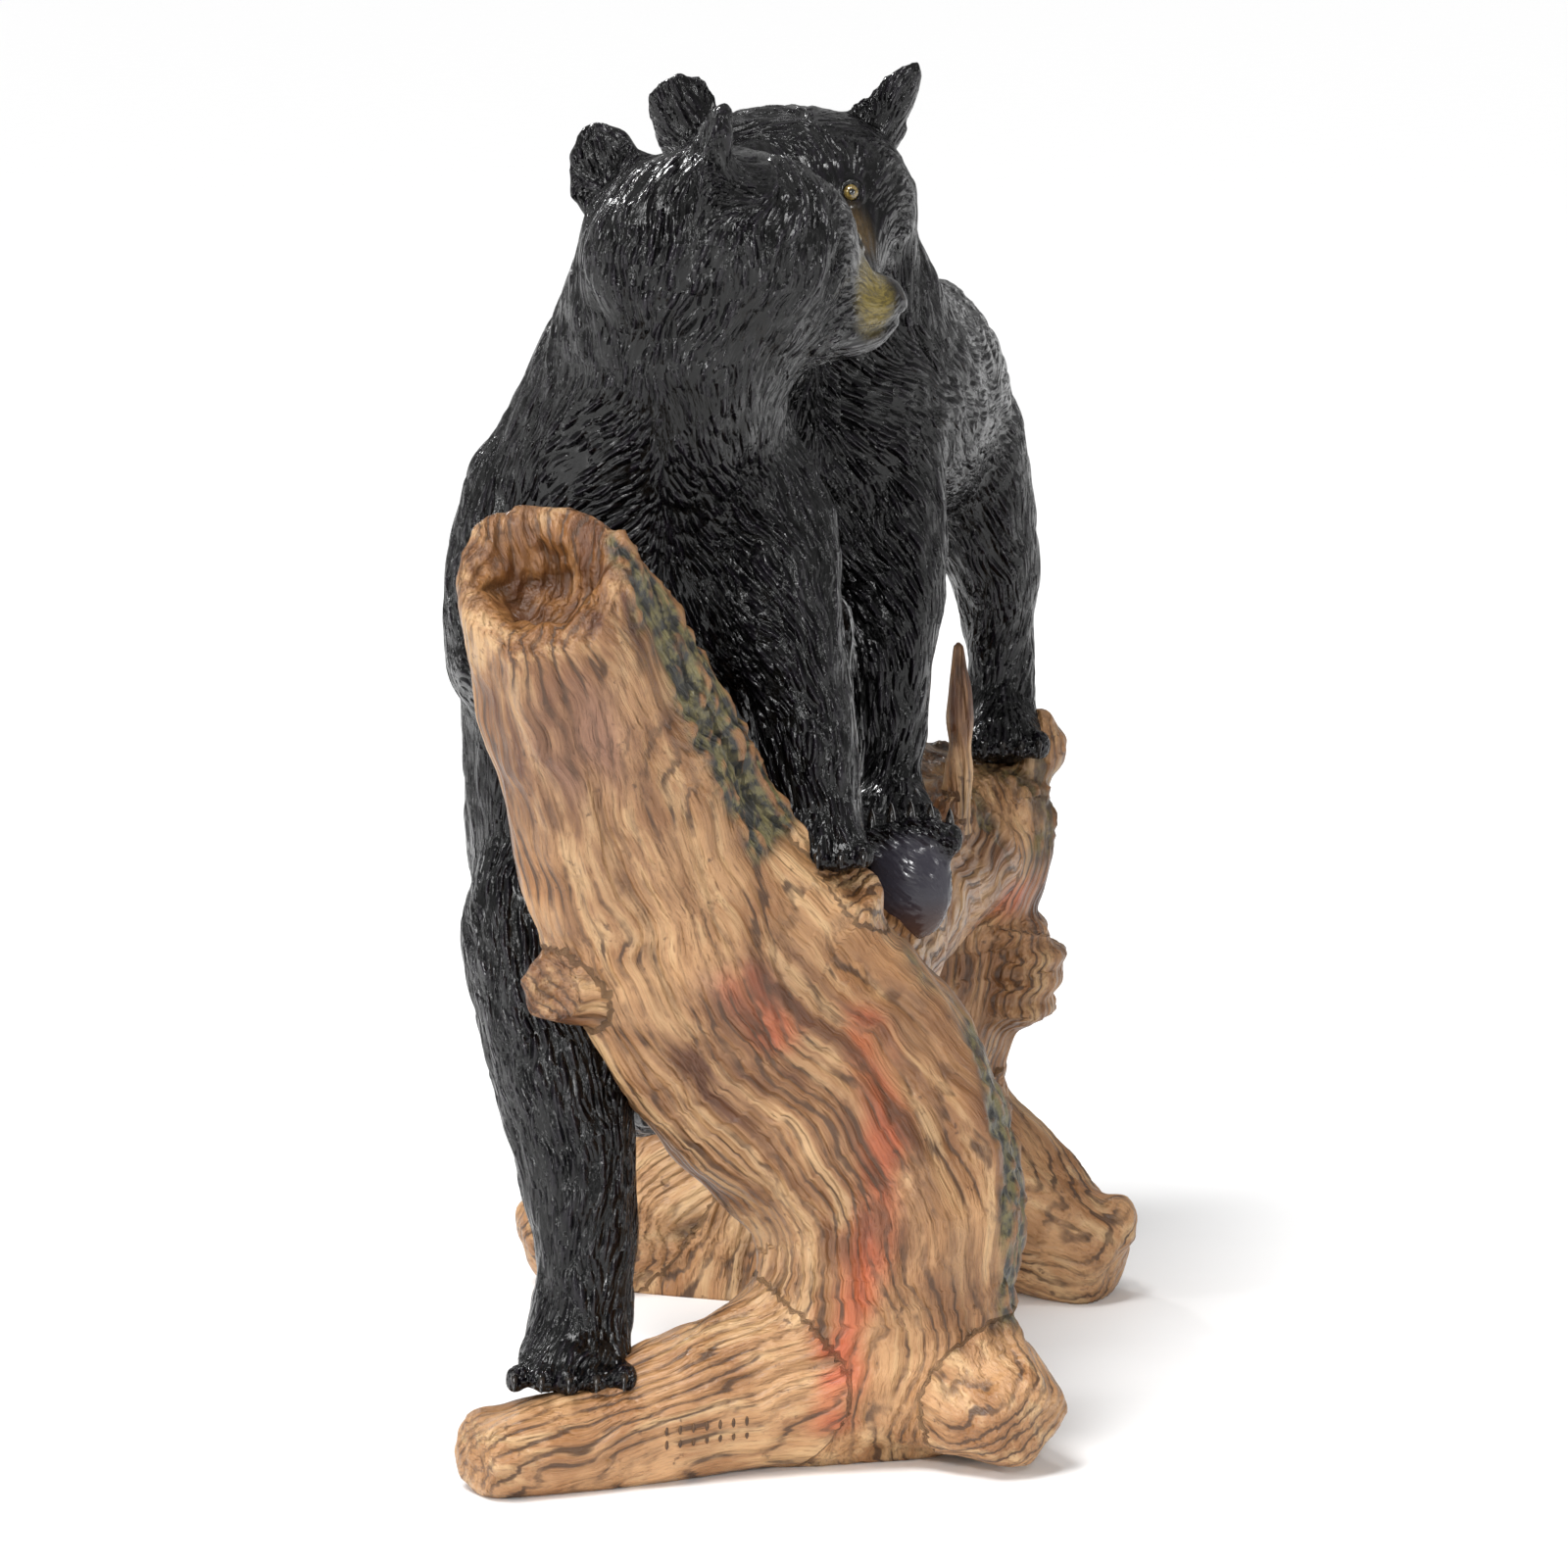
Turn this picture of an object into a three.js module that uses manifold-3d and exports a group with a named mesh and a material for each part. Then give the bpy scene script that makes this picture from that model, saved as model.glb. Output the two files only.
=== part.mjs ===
// A cast statue of two black bears on a driftwood log, in millimetres, +Z up.
// The log stands on its flat underside. The sitting bear hugs the near branch and
// the standing bear stands on the far end. The origin is the middle of the underside.
import * as THREE from 'three';
import { mergeVertices } from 'three/addons/utils/BufferGeometryUtils.js';
import Module from 'manifold-3d';

// Driving dimensions
const statueHeight = 485;
const castingGap = 0.35;
const eyeDiameter = 6;
const clawLength = 7;
const clawWidth = 3;
const toeRadius = 4.6;
const sittingEarDepth = 15;
const standingEarDepth = 10;
const branchHollowDepth = 26;
const branchWall = 9;
const branchEndSlant = 13;
const pitDepth = 7;
const lockLength = 16;
const lockWidth = 8;
const strokeDepth = 0.8;
const strokeHeight = 3.6;
const strokeWidth = 1.3;
const strokesInRow = 7;
const barkSlabThickness = 9;
const sliverTolerance = 0.1;
const mergeTolerance = 0.5;

// The pose below is written on a figure this tall, so each number is a share of the height.
const poseHeight = 485;
const share = statueHeight / poseHeight;

const furColour = 0x1e1c20;
const woodColour = 0xb98f62;
const eyeColour = 0xa98a4a;

const wasm = await Module();
wasm.setup();

// Turns a closed geometry into a solid.
function solidOf(geometry) {
  const bare = geometry.clone();
  bare.deleteAttribute('normal');
  bare.deleteAttribute('uv');
  const merged = mergeVertices(bare, 1e-4);
  const mesh = new wasm.Mesh({
    numProp: 3,
    vertProperties: Float32Array.from(merged.attributes.position.array),
    triVerts: Uint32Array.from(merged.index.array),
  });
  return new wasm.Manifold(mesh);
}

function joined(solids) {
  return solids.reduce((whole, next) => whole.add(next));
}

// A bear's parts in one, with the facets along their seams merged where that moves no
// corner by more than the tolerance. The seat is cut afterwards, so its gap stays true.
function fused(solids) {
  return joined(solids).simplify(mergeTolerance);
}

// The one outer body: crumbs and closed pockets that a join leaves behind are dropped,
// and so are slivers thinner than the tolerance.
function outerBody(solid) {
  const bodies = solid.simplify(sliverTolerance).decompose();
  return bodies.reduce((best, next) => (next.volume() > best.volume() ? next : best));
}

function geometryOf(solid) {
  const mesh = solid.getMesh();
  const geometry = new THREE.BufferGeometry();
  geometry.setAttribute('position', new THREE.BufferAttribute(mesh.vertProperties, 3));
  geometry.setIndex(new THREE.BufferAttribute(mesh.triVerts, 1));
  geometry.computeVertexNormals();
  return geometry;
}

// A smooth row between hand-set rows: a Catmull-Rom blend of every column.
function rowAt(rows, t) {
  const last = rows.length - 1;
  const i = Math.min(Math.floor(t), last - 1);
  const u = t - i;
  const pick = (n) => rows[Math.max(0, Math.min(last, n))];
  const [p, q, r, s] = [pick(i - 1), pick(i), pick(i + 1), pick(i + 2)];
  return q.map((_, c) => 0.5 * (2 * q[c] + (r[c] - p[c]) * u
    + (2 * p[c] - 5 * q[c] + 4 * r[c] - s[c]) * u * u
    + (3 * q[c] - p[c] - 3 * r[c] + s[c]) * u * u * u));
}

// One ring of a loft: its centre, its two half-width vectors and its direction.
function ringFrame(rows, side, t, grow) {
  const step = 0.02;
  const last = rows.length - 1;
  const here = rowAt(rows, t);
  const before = rowAt(rows, Math.max(0, t - step));
  const after = rowAt(rows, Math.min(last, t + step));
  const centre = new THREE.Vector3(here[0], here[1], here[2]).multiplyScalar(share);
  const along = new THREE.Vector3(after[0] - before[0], after[1] - before[1], after[2] - before[2]);
  along.normalize();
  const wide = side.clone().addScaledVector(along, -side.dot(along)).normalize();
  const deep = new THREE.Vector3().crossVectors(along, wide);
  wide.multiplyScalar(here[3] * share + grow);
  deep.multiplyScalar(here[4] * share + grow);
  return { centre, along, wide, deep };
}

// A closed body swept along rows of [x, y, z, half width, half depth].
// Its ends are rounded by startRound and endRound, 0 flat and 1 a half ball.
// ridge(angle, t) gives the share by which the section swells. slant tips the start, so that
// its far edge stands that much further out than its middle; it fades out by the second row.
function loft(rows, options = {}) {
  const { side = [1, 0, 0], sides = 12, steps = 1, startRound = 0.9, endRound = 0.9 } = options;
  const { ridge = () => 0, grow = 0, slant = 0 } = options;
  const sideAxis = new THREE.Vector3(...side);
  const last = rows.length - 1;
  const rings = [];
  const capSteps = [0.72];
  for (const sine of capSteps) rings.push([0, Math.sqrt(1 - sine * sine), -sine * startRound]);
  for (let n = 0; n <= last * steps; n++) rings.push([n / steps, 1, 0]);
  for (const sine of capSteps.slice().reverse()) {
    rings.push([last, Math.sqrt(1 - sine * sine), sine * endRound]);
  }
  const points = [];
  for (const [t, scale, push] of rings) {
    const { centre, along, wide, deep } = ringFrame(rows, sideAxis, t, grow);
    const reach = Math.min(wide.length(), deep.length()) * push;
    const lean = slant * scale * Math.max(0, 1 - t) ** 2;
    for (let k = 0; k < sides; k++) {
      const angle = (2 * Math.PI * k) / sides;
      const swell = scale * (1 + ridge(angle, t));
      points.push(centre.clone().addScaledVector(along, reach + lean * Math.sin(angle))
        .addScaledVector(wide, Math.cos(angle) * swell)
        .addScaledVector(deep, Math.sin(angle) * swell));
    }
  }
  const faces = [];
  for (let r = 0; r < rings.length - 1; r++) {
    for (let k = 0; k < sides; k++) {
      const a = r * sides + k;
      const b = r * sides + ((k + 1) % sides);
      faces.push(a, b, b + sides, a, b + sides, a + sides);
    }
  }
  const ends = [[0, -startRound], [last, endRound]];
  ends.forEach(([t, push], end) => {
    const { centre, along, wide, deep } = ringFrame(rows, sideAxis, t, grow);
    const reach = Math.min(wide.length(), deep.length()) * push;
    const pole = points.push(centre.addScaledVector(along, reach)) - 1;
    const first = end === 0 ? 0 : (rings.length - 1) * sides;
    for (let k = 0; k < sides; k++) {
      const a = first + k;
      const b = first + ((k + 1) % sides);
      faces.push(...(end === 0 ? [pole, b, a] : [pole, a, b]));
    }
  });
  const geometry = new THREE.BufferGeometry();
  const flat = points.flatMap((p) => [p.x, p.y, p.z]);
  geometry.setAttribute('position', new THREE.Float32BufferAttribute(flat, 3));
  geometry.setIndex(faces);
  return solidOf(geometry);
}

// A ball squashed to three half sizes and turned so that its x, y, z follow the given axes.
function ball(centre, halves, axes, wide = 10, high = 7) {
  const geometry = new THREE.SphereGeometry(1, wide, high);
  const [x, y, z] = axes.map((v, n) => v.clone().multiplyScalar(halves[n]));
  geometry.applyMatrix4(new THREE.Matrix4().makeBasis(x, y, z).setPosition(centre));
  return solidOf(geometry);
}

const up = new THREE.Vector3(0, 0, 1);
const at = (x, y, z) => new THREE.Vector3(x, y, z).multiplyScalar(share);
const upright = [new THREE.Vector3(1, 0, 0), new THREE.Vector3(0, 1, 0), up];

// A pointed lock of fur from a root to a tip.
function lock(root, tip, width) {
  const direction = tip.clone().sub(root);
  const geometry = new THREE.ConeGeometry(width / 2, direction.length() * 1.5, 4, 1);
  const turn = new THREE.Quaternion().setFromUnitVectors(new THREE.Vector3(0, 1, 0),
    direction.clone().normalize());
  geometry.applyQuaternion(turn);
  const middle = root.clone().addScaledVector(direction, 0.25);
  geometry.translate(middle.x, middle.y, middle.z);
  return solidOf(geometry);
}

// Five toes in an arc with a claw each. heading is the way the toes point,
// normal the way the top of the foot faces, and reach the foot's half length.
function toes(centre, heading, normal, halfWidth, reach, droop) {
  const across = new THREE.Vector3().crossVectors(heading, normal).normalize();
  const parts = [];
  for (let n = -2; n <= 2; n++) {
    const lean = n / 2;
    const root = centre.clone()
      .addScaledVector(across, lean * (halfWidth - toeRadius * 0.7))
      .addScaledVector(heading, reach * (1 - 0.16 * lean * lean));
    const axes = [across, heading, normal];
    const plump = 1 + 0.03 * n;
    parts.push(ball(root, [toeRadius * plump, toeRadius * 1.5, toeRadius * 1.15], axes, 5, 3));
    const tip = root.clone().addScaledVector(heading, toeRadius * 1.1 + clawLength)
      .addScaledVector(normal, -droop);
    parts.push(lock(root.clone().addScaledVector(heading, toeRadius * 0.9), tip, clawWidth));
  }
  return parts;
}

// An ear from its root to its tip, cupped on the side that opening faces.
// profile gives the half width at five heights as shares of halfWidth.
function ear(root, tip, opening, halfWidth, profile, depth) {
  const rise = tip.clone().sub(root);
  const across = new THREE.Vector3().crossVectors(opening, rise).normalize();
  const row = (t, wide, thick, push) => {
    const p = root.clone().addScaledVector(rise, t).addScaledVector(opening, push);
    return [p.x, p.y, p.z, wide, thick].map((v) => v / share);
  };
  const half = depth / 2;
  const heights = [0, 0.35, 0.65, 0.88, 1];
  const shell = profile.map((wide, n) => row(heights[n], halfWidth * wide, half, 0));
  const cup = profile.map((wide, n) => row(0.1 + 0.78 * heights[n], halfWidth * wide * 0.68,
    half, half));
  const side = across.toArray();
  return loft(shell, { side, sides: 8 }).subtract(loft(cup, { side, sides: 6 }));
}

// A head along its heading: rows of [distance from the skull's middle, z, half width, half height].
function head(skull, heading, rows) {
  const f = new THREE.Vector3(heading[0], heading[1], 0).normalize();
  const s = new THREE.Vector3(-f.y, f.x, 0);
  const rings = rows.map(([t, z, a, b]) => [skull[0] + f.x * t, skull[1] + f.y * t, z, a, b]);
  const place = (t, sideways, z) => at(skull[0] + f.x * t + s.x * sideways,
    skull[1] + f.y * t + s.y * sideways, z);
  const onSkin = (row, angle, inset) => {
    const { centre, wide, deep } = ringFrame(rings, s, row, -inset);
    return centre.addScaledVector(wide, Math.cos(angle)).addScaledVector(deep, Math.sin(angle));
  };
  return { f, s, rings, place, onSkin, solid: loft(rings, { side: s.toArray(), sides: 12 }) };
}

// Locks that stand out round the cheeks, pointing back and outwards.
function ruff(h, t, z, reachOut, count) {
  const parts = [];
  for (const hand of [-1, 1]) {
    for (let n = 0; n < count; n++) {
      const lift = (n / (count - 1)) * 1.5 - 1.0;
      const out = h.s.clone().multiplyScalar(hand * Math.cos(lift)).addScaledVector(up, Math.sin(lift));
      const root = h.place(t, 0, z).addScaledVector(out, reachOut * share);
      const tip = root.clone().addScaledVector(out, lockLength * 0.45)
        .addScaledVector(h.f, -lockLength * 0.8);
      parts.push(lock(root, tip, lockWidth));
    }
  }
  return parts;
}

// Rows of locks hanging down a limb or chest, from a top point towards a bottom point.
function fringe(top, bottom, out, count, spread) {
  const parts = [];
  const line = bottom.clone().sub(top);
  const across = new THREE.Vector3().crossVectors(line, out).normalize();
  for (let n = 0; n < count; n++) {
    const sway = Math.sin(n * 2.4) * spread;
    const root = top.clone().addScaledVector(line, n / count).addScaledVector(across, sway);
    const tip = root.clone().addScaledVector(out, lockLength * 0.4)
      .addScaledVector(line.clone().normalize(), lockLength);
    parts.push(lock(root, tip, lockWidth));
  }
  return parts;
}

// Weathered wood: the section swells and sinks in long grooves.
const grooves = (depth, turn) => (angle, t) => depth * (0.5 * Math.cos(3 * angle + turn * t)
  + 0.35 * Math.cos(5 * angle - 0.7 * turn * t + 2) + 0.25 * Math.cos(8 * angle + 1));

// The driftwood log
const branchRows = [
  [-85, -172, 321, 30, 29], [-76, -156, 290, 35, 32], [-64, -140, 255, 39, 34],
  [-46, -121, 206, 45, 37], [-14, -102, 158, 53, 42], [18, -98, 120, 53, 42],
  [34, -103, 90, 47, 40], [33, -106, 60, 46, 36], [30, -102, 30, 50, 30], [30, -96, 4, 52, 24],
];
const branchEnd = { startRound: 0.1, endRound: 0.1, side: [1, 0.2, 0.4],
  slant: branchEndSlant };
// A thick strip of bark that stands out along the right of the branch.
const barkRows = [
  [-55, -150, 312, 8, 9], [-44, -143, 288, 12, 12], [-34, -133, 266, 13, 13],
  [-24, -123, 244, 12, 12], [-8, -113, 220, 10, 10], [12, -106, 196, 8, 8],
];
const rootRows = {
  frontLeft: [[18, -106, 36, 36, 34], [-22, -122, 28, 29, 27], [-70, -144, 17, 20, 21],
    [-108, -160, 14, 16, 18]],
  frontRight: [[42, -104, 36, 34, 32], [64, -120, 26, 26, 26], [80, -140, 19, 17, 18]],
  farRight: [[50, 146, 50, 38, 38], [82, 134, 32, 30, 32], [104, 124, 20, 25, 25],
    [119, 117, 14, 21, 22]],
  farLeft: [[-20, 150, 46, 40, 36], [-56, 142, 30, 30, 30], [-84, 134, 20, 24, 22],
    [-96, 130, 16, 18, 18]],
  back: [[20, 165, 44, 40, 34], [14, 186, 24, 32, 26], [10, 196, 14, 24, 20]],
};
const bridgeRows = [
  [-2, -74, 158, 44, 40], [8, -30, 160, 42, 38], [18, 20, 166, 42, 33], [26, 66, 168, 42, 32],
  [36, 118, 170, 46, 33], [44, 150, 172, 50, 34],
];
const stumpRows = [
  [12, 154, -4, 92, 46], [13, 153, 24, 80, 46], [14, 152, 56, 70, 45], [15, 151, 90, 67, 44],
  [24, 152, 118, 64, 43], [31, 154, 150, 54, 41], [42, 157, 176, 58, 40], [45, 158, 196, 54, 34],
];
const rootSides = 10;
const inscribedFace = 6;
const knobAt = [-80, -138, 172];
const stubAt = [18, -106, 196];
const pitRadius = 8;
// Broken layers of wood that step down the right side of the far stump.
const slabRows = [[74, 150, 141, 20, 30], [82, 152, 126, 22, 28], [80, 150, 110, 22, 30]];

const woodRidge = grooves(0.07, 1.3);

function wood(rows, options) {
  return loft(rows, { sides: 14, ridge: woodRidge, ...options });
}

// The log's mass, swollen by grow, which leaves the bears' seats their gap.
function logMass(grow) {
  const lump = (place, halves, wide, high) => ball(at(...place),
    halves.map((v) => v * share + grow), upright, wide, high);
  return joined([
    wood(branchRows, { grow, ...branchEnd }),
    loft(barkRows, { grow, sides: 9 }),
    wood(bridgeRows, { grow }),
    wood(stumpRows, { grow, sides: 17, endRound: 0.35, startRound: 0.1 }),
    ...Object.values(rootRows).map((rows) => wood(rows,
      { grow, side: up.toArray(), sides: rootSides, endRound: 0.5 })),
    lump([92, 160, 205], [12, 16, 14], 10, 7),
    lump([125, 116, 30], [7, 12, 12], 8, 6),
    loft([[60, 82, 180, 6, 6], [61, 80, 225, 5.5, 5.5], [61, 79, 258, 4.5, 4.5]],
      { grow, sides: 7 }),
    loft([[-62, -126, 176, 17, 17], [...knobAt, 14, 14], [-84, -146, 172, 12, 12]],
      { grow, side: [0, 0, 1], sides: 11, endRound: 0.3 }),
    loft([[14, -96, 178, 16, 16], [...stubAt, 14, 14], [19, -111, 203, 12.5, 12.5]],
      { grow, sides: 11, endRound: 0.25 }),
    ...slabRows.map(([x, y, z, a, b]) => ball(at(x, y, z),
      [a * share + grow, b * share + grow, barkSlabThickness + grow], upright, 9, 5)),
  ]);
}

function driftwoodLog() {
  const floorDepth = 60 * share;
  const floor = new THREE.BoxGeometry(6 * statueHeight, 6 * statueHeight, floorDepth);
  floor.translate(0, 0, -floorDepth / 2);
  const cuts = [solidOf(floor), branchHollow(), pit(knobAt, [-84, -148, 172]),
    pit(stubAt, [20, -114, 206]), ...strokes()];
  return outerBody(cuts.reduce((whole, cut) => whole.subtract(cut), logMass(0)));
}

// The rotted-out end of the branch, a tapering hole along its axis.
function branchHollow() {
  const mouth = at(...branchRows[0]);
  const inward = at(...branchRows[1]).sub(mouth).normalize();
  const deepEnd = mouth.clone().addScaledVector(inward, branchHollowDepth);
  const lip = mouth.clone().addScaledVector(inward, -10 * share);
  const [a, b] = [branchRows[0][3] * share - branchWall, branchRows[0][4] * share - branchWall];
  const rows = [[lip, a * 1.1, b * 1.1], [mouth, a, b], [deepEnd, a * 0.45, b * 0.45]];
  return loft(rows.map(([p, wide, deep]) => [p.x, p.y, p.z, wide, deep].map((v) => v / share)),
    { ...branchEnd, sides: 12, endRound: 0.6, ridge: grooves(0.12, 1) });
}

// A shallow round pit in a broken stub.
function pit(from, to) {
  const radius = pitRadius * share;
  const mouth = at(...to);
  const inward = at(...from).sub(mouth).normalize();
  const bottom = mouth.clone().addScaledVector(inward, pitDepth);
  const lip = mouth.clone().addScaledVector(inward, -8 * share);
  const rows = [[lip, radius * 1.2], [mouth, radius], [bottom, radius * 0.6]];
  return loft(rows.map(([p, r]) => [p.x / share, p.y / share, p.z / share, r, r]),
    { side: [0, 0, 1], sides: 9, steps: 1, startRound: 0.1, endRound: 0.5 });
}

// The middle of one flat face of the front root, on its ring t, and that ring's edge there.
function rootFace(t) {
  const rows = rootRows.frontLeft;
  const { centre, wide, deep } = ringFrame(rows, up, t, 0);
  const corner = (k) => {
    const angle = (2 * Math.PI * k) / rootSides;
    const swell = 1 + woodRidge(angle, t);
    return centre.clone().addScaledVector(wide, Math.cos(angle) * swell)
      .addScaledVector(deep, Math.sin(angle) * swell);
  };
  const edge = corner(inscribedFace + 1).sub(corner(inscribedFace));
  return { middle: corner(inscribedFace).addScaledVector(edge, 0.5), edge };
}

// Two rows of short plain strokes low on the front root, in place of the cut inscription.
function strokes() {
  const [from, to] = [rootFace(1), rootFace(2)];
  const run = to.middle.clone().sub(from.middle);
  const along = run.clone().normalize();
  const out = new THREE.Vector3().crossVectors(from.edge, along).normalize();
  const upward = new THREE.Vector3().crossVectors(along, out);
  const cuts = [];
  for (let row = 0; row < 2; row++) {
    for (let n = 0; n < strokesInRow; n++) {
      const bar = new THREE.BoxGeometry(strokeWidth, 2 * strokeDepth, strokeHeight);
      bar.rotateY((n % 3 - 1) * 0.25);
      const place = from.middle.clone().addScaledVector(run, 0.08 + 0.09 * n)
        .addScaledVector(upward, (row - 0.5) * strokeHeight * 1.4);
      bar.applyMatrix4(new THREE.Matrix4().makeBasis(along, out, upward).setPosition(place));
      cuts.push(solidOf(bar));
    }
  }
  return cuts;
}

// The sitting bear
const sitting = {
  torso: [[-52, -44, 138, 42, 42], [-59, -42, 168, 51, 48], [-63, -42, 208, 53, 50],
    [-64, -42, 250, 54, 48], [-62, -45, 295, 54, 46], [-57, -51, 335, 51, 43],
    [-47, -68, 368, 45, 47], [-40, -84, 397, 40, 46], [-36, -90, 420, 38, 38]],
  leftArm: [[-24, -56, 345, 26, 26], [-10, -62, 322, 25, 26], [-2, -76, 286, 20, 22],
    [5, -86, 248, 17, 19], [8, -92, 222, 17, 17]],
  rightArm: [[-90, -52, 332, 26, 26], [-100, -56, 305, 22, 24], [-104, -62, 278, 19, 20],
    [-96, -88, 268, 17, 17], [-84, -108, 272, 16, 15]],
  rightLeg: [[-66, -52, 192, 34, 40], [-88, -66, 182, 29, 36], [-82, -92, 148, 27, 31],
    [-76, -110, 108, 22, 24], [-72, -118, 74, 18, 20], [-74, -122, 50, 19, 20]],
  leftLeg: [[-34, -40, 180, 36, 34], [0, -32, 196, 26, 26], [24, -34, 196, 19, 20],
    [38, -44, 190, 15, 17]],
  nape: [-49, -76, 407],
  napeHalves: [25, 30, 27],
  skull: [-20, -95],
  heading: [0.85, 0.53],
  headRows: [[-34, 417, 26, 27], [-22, 420, 37, 34], [-4, 420, 41, 37], [16, 412, 35, 37],
    [30, 404, 24, 28], [43, 399, 18, 20], [52, 398, 15, 16.5], [60, 400, 11, 11]],
  eyes: [4.4, 1.3],
  ears: [[[-24, -120, 432], [-22, -127, 469.5], -0.45, [0.8, 1, 0.96, 0.7, 0.36]],
    [[-52, -66, 428], [-68, -62, 458], 0.6, [0.8, 1, 0.98, 0.76, 0.42]]],
  earHalfWidth: 17,
};

function sittingBear(seat) {
  const h = head(sitting.skull, sitting.heading, sitting.headRows);
  const x = new THREE.Vector3(1, 0, 0);
  const y = new THREE.Vector3(0, 1, 0);
  const turned = (angle) => h.f.clone().applyAxisAngle(up, angle);
  const front = new THREE.Vector3(0, -1, 0);
  const parts = [
    loft(sitting.torso, { sides: 13 }),
    loft(sitting.leftArm, { sides: 9 }),
    loft(sitting.rightArm, { sides: 9 }),
    loft(sitting.rightLeg, { sides: 10 }),
    loft(sitting.leftLeg, { side: [0, 1, 0], sides: 9 }),
    h.solid,
    ball(at(...sitting.nape), sitting.napeHalves.map((v) => v * share), upright, 12, 8),
    ball(at(8, -98, 216), [19, 17, 11].map((v) => v * share), upright, 7, 5),
    ...toes(at(8, -99, 213), front, up, 19 * share, 13 * share, 4),
    ball(at(-76, -130, 41), [21, 22, 13].map((v) => v * share), upright, 7, 5),
    ...toes(at(-77, -134, 38), front, up, 22 * share, 17 * share, 4),
    ball(at(43, -55, 191), [16, 11, 21].map((v) => v * share), upright, 7, 5),
    ...toes(at(43, -57, 194), up, y, 15.5 * share, 17 * share, 3),
    ...sitting.ears.map(([root, tip, turn, profile]) => ear(at(...root), at(...tip), turned(turn),
      sitting.earHalfWidth * share, profile, sittingEarDepth)),
    ...ruff(h, 6, 408, 36, 5),
    ...fringe(at(-44, -92, 372), at(-52, -92, 270), front, 8, 9 * share),
    ...fringe(at(-104, -62, 300), at(-108, -60, 262), x.clone().negate(), 3, 5 * share),
    ...fringe(at(6, -66, 300), at(16, -78, 240), x, 4, 5 * share),
  ];
  return { h, solid: outerBody(fused(parts).subtract(seat)) };
}

// The standing bear
const standing = {
  body: [[0, 38, 416, 40, 38], [8, 52, 390, 43, 44], [20, 70, 358, 44, 50], [30, 98, 347, 43, 48],
    [37, 130, 342, 42, 48], [42, 160, 340, 40, 47], [44, 184, 334, 31, 40]],
  chest: [[6, 46, 392, 38, 34], [14, 52, 345, 42, 38], [16, 50, 308, 34, 28]],
  foreLeft: [[30, 54, 345, 24, 28], [37, 40, 290, 19, 21], [35, 35, 250, 15, 16],
    [35, 34, 215, 13, 14]],
  foreRight: [[0, 54, 345, 24, 28], [-3, 42, 290, 18, 20], [-5, 38, 250, 14, 16],
    [-5, 37, 212, 13, 14]],
  hindLeft: [[62, 158, 322, 27, 36], [75, 163, 280, 19, 26], [79, 170, 246, 14, 17],
    [79, 165, 220, 14, 15]],
  hindRight: [[22, 158, 322, 27, 36], [16, 163, 280, 20, 26], [14, 170, 246, 14, 17],
    [14, 165, 220, 14, 15]],
  skull: [-2, 28],
  heading: [0.34, -0.94],
  headRows: [[-30, 422, 26, 26], [-16, 424, 42, 35], [2, 424, 47, 37], [20, 420, 42, 34],
    [34, 412, 29, 22], [47, 406, 19, 15.5], [58, 403, 15, 13], [66, 402, 11, 10]],
  eyes: [3.8, 1.32],
  ears: [[[-34, 40, 440], [-44, 38, 468.5], -0.4, [0.8, 0.96, 0.94, 0.74, 0.42]],
    [[30, 46, 442], [45, 48, 473], 0.4, [0.95, 1, 0.76, 0.46, 0.18]]],
  earHalfWidth: 15.5,
  paws: [[35, 24, 206], [-5, 26, 203], [79, 154, 211], [14, 154, 211]],
};

function standingBear(seat) {
  const h = head(standing.skull, standing.heading, standing.headRows);
  const turned = (angle) => h.f.clone().applyAxisAngle(up, angle);
  const front = new THREE.Vector3(0, -1, 0);
  const down = up.clone().negate();
  const limbs = ['foreLeft', 'foreRight', 'hindLeft', 'hindRight'];
  const parts = [
    loft(standing.body, { sides: 13 }),
    loft(standing.chest, { sides: 10 }),
    ...limbs.map((name) => loft(standing[name], { sides: 9 })),
    h.solid,
    ...standing.paws.flatMap(([px, py, pz]) => [
      ball(at(px, py, pz), [17, 18, 12].map((v) => v * share), upright, 9, 5),
      ...toes(at(px, py - 2, pz - 2), front, up, 17 * share, 14 * share, 4)]),
    ...standing.ears.map(([root, tip, turn, profile]) => ear(at(...root), at(...tip), turned(turn),
      standing.earHalfWidth * share, profile, standingEarDepth)),
    ball(at(45, 203, 345), [9, 12, 14].map((v) => v * share), upright, 7, 5),
    ...ruff(h, 4, 410, 42, 5),
    ...fringe(at(20, 80, 306), at(34, 140, 298), down, 6, 12 * share),
    ...fringe(at(44, 56, 330), at(52, 50, 272), new THREE.Vector3(1, 0.4, 0).normalize(), 3, 5 * share),
    ...fringe(at(80, 178, 320), at(88, 184, 262), new THREE.Vector3(0.7, 0.7, 0), 3, 5 * share),
  ];
  return { h, solid: outerBody(fused(parts).subtract(seat)) };
}

// A pair of glass beads, each in a socket a gap wider than itself.
function eyes(figure, [row, angle]) {
  const radius = eyeDiameter / 2;
  const places = [Math.PI - angle, angle].map((turn) => figure.h.onSkin(row, turn, radius * 0.3));
  const bead = (centre, r) => ball(centre, [r, r, r], upright, 9, 6);
  const socketed = places.reduce((whole, p) => whole.subtract(bead(p, radius + castingGap)),
    figure.solid);
  return { solid: outerBody(socketed), beads: places.map((p) => bead(p, radius)) };
}

const statue = new THREE.Group();
const centreline = new THREE.Vector3();

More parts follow.
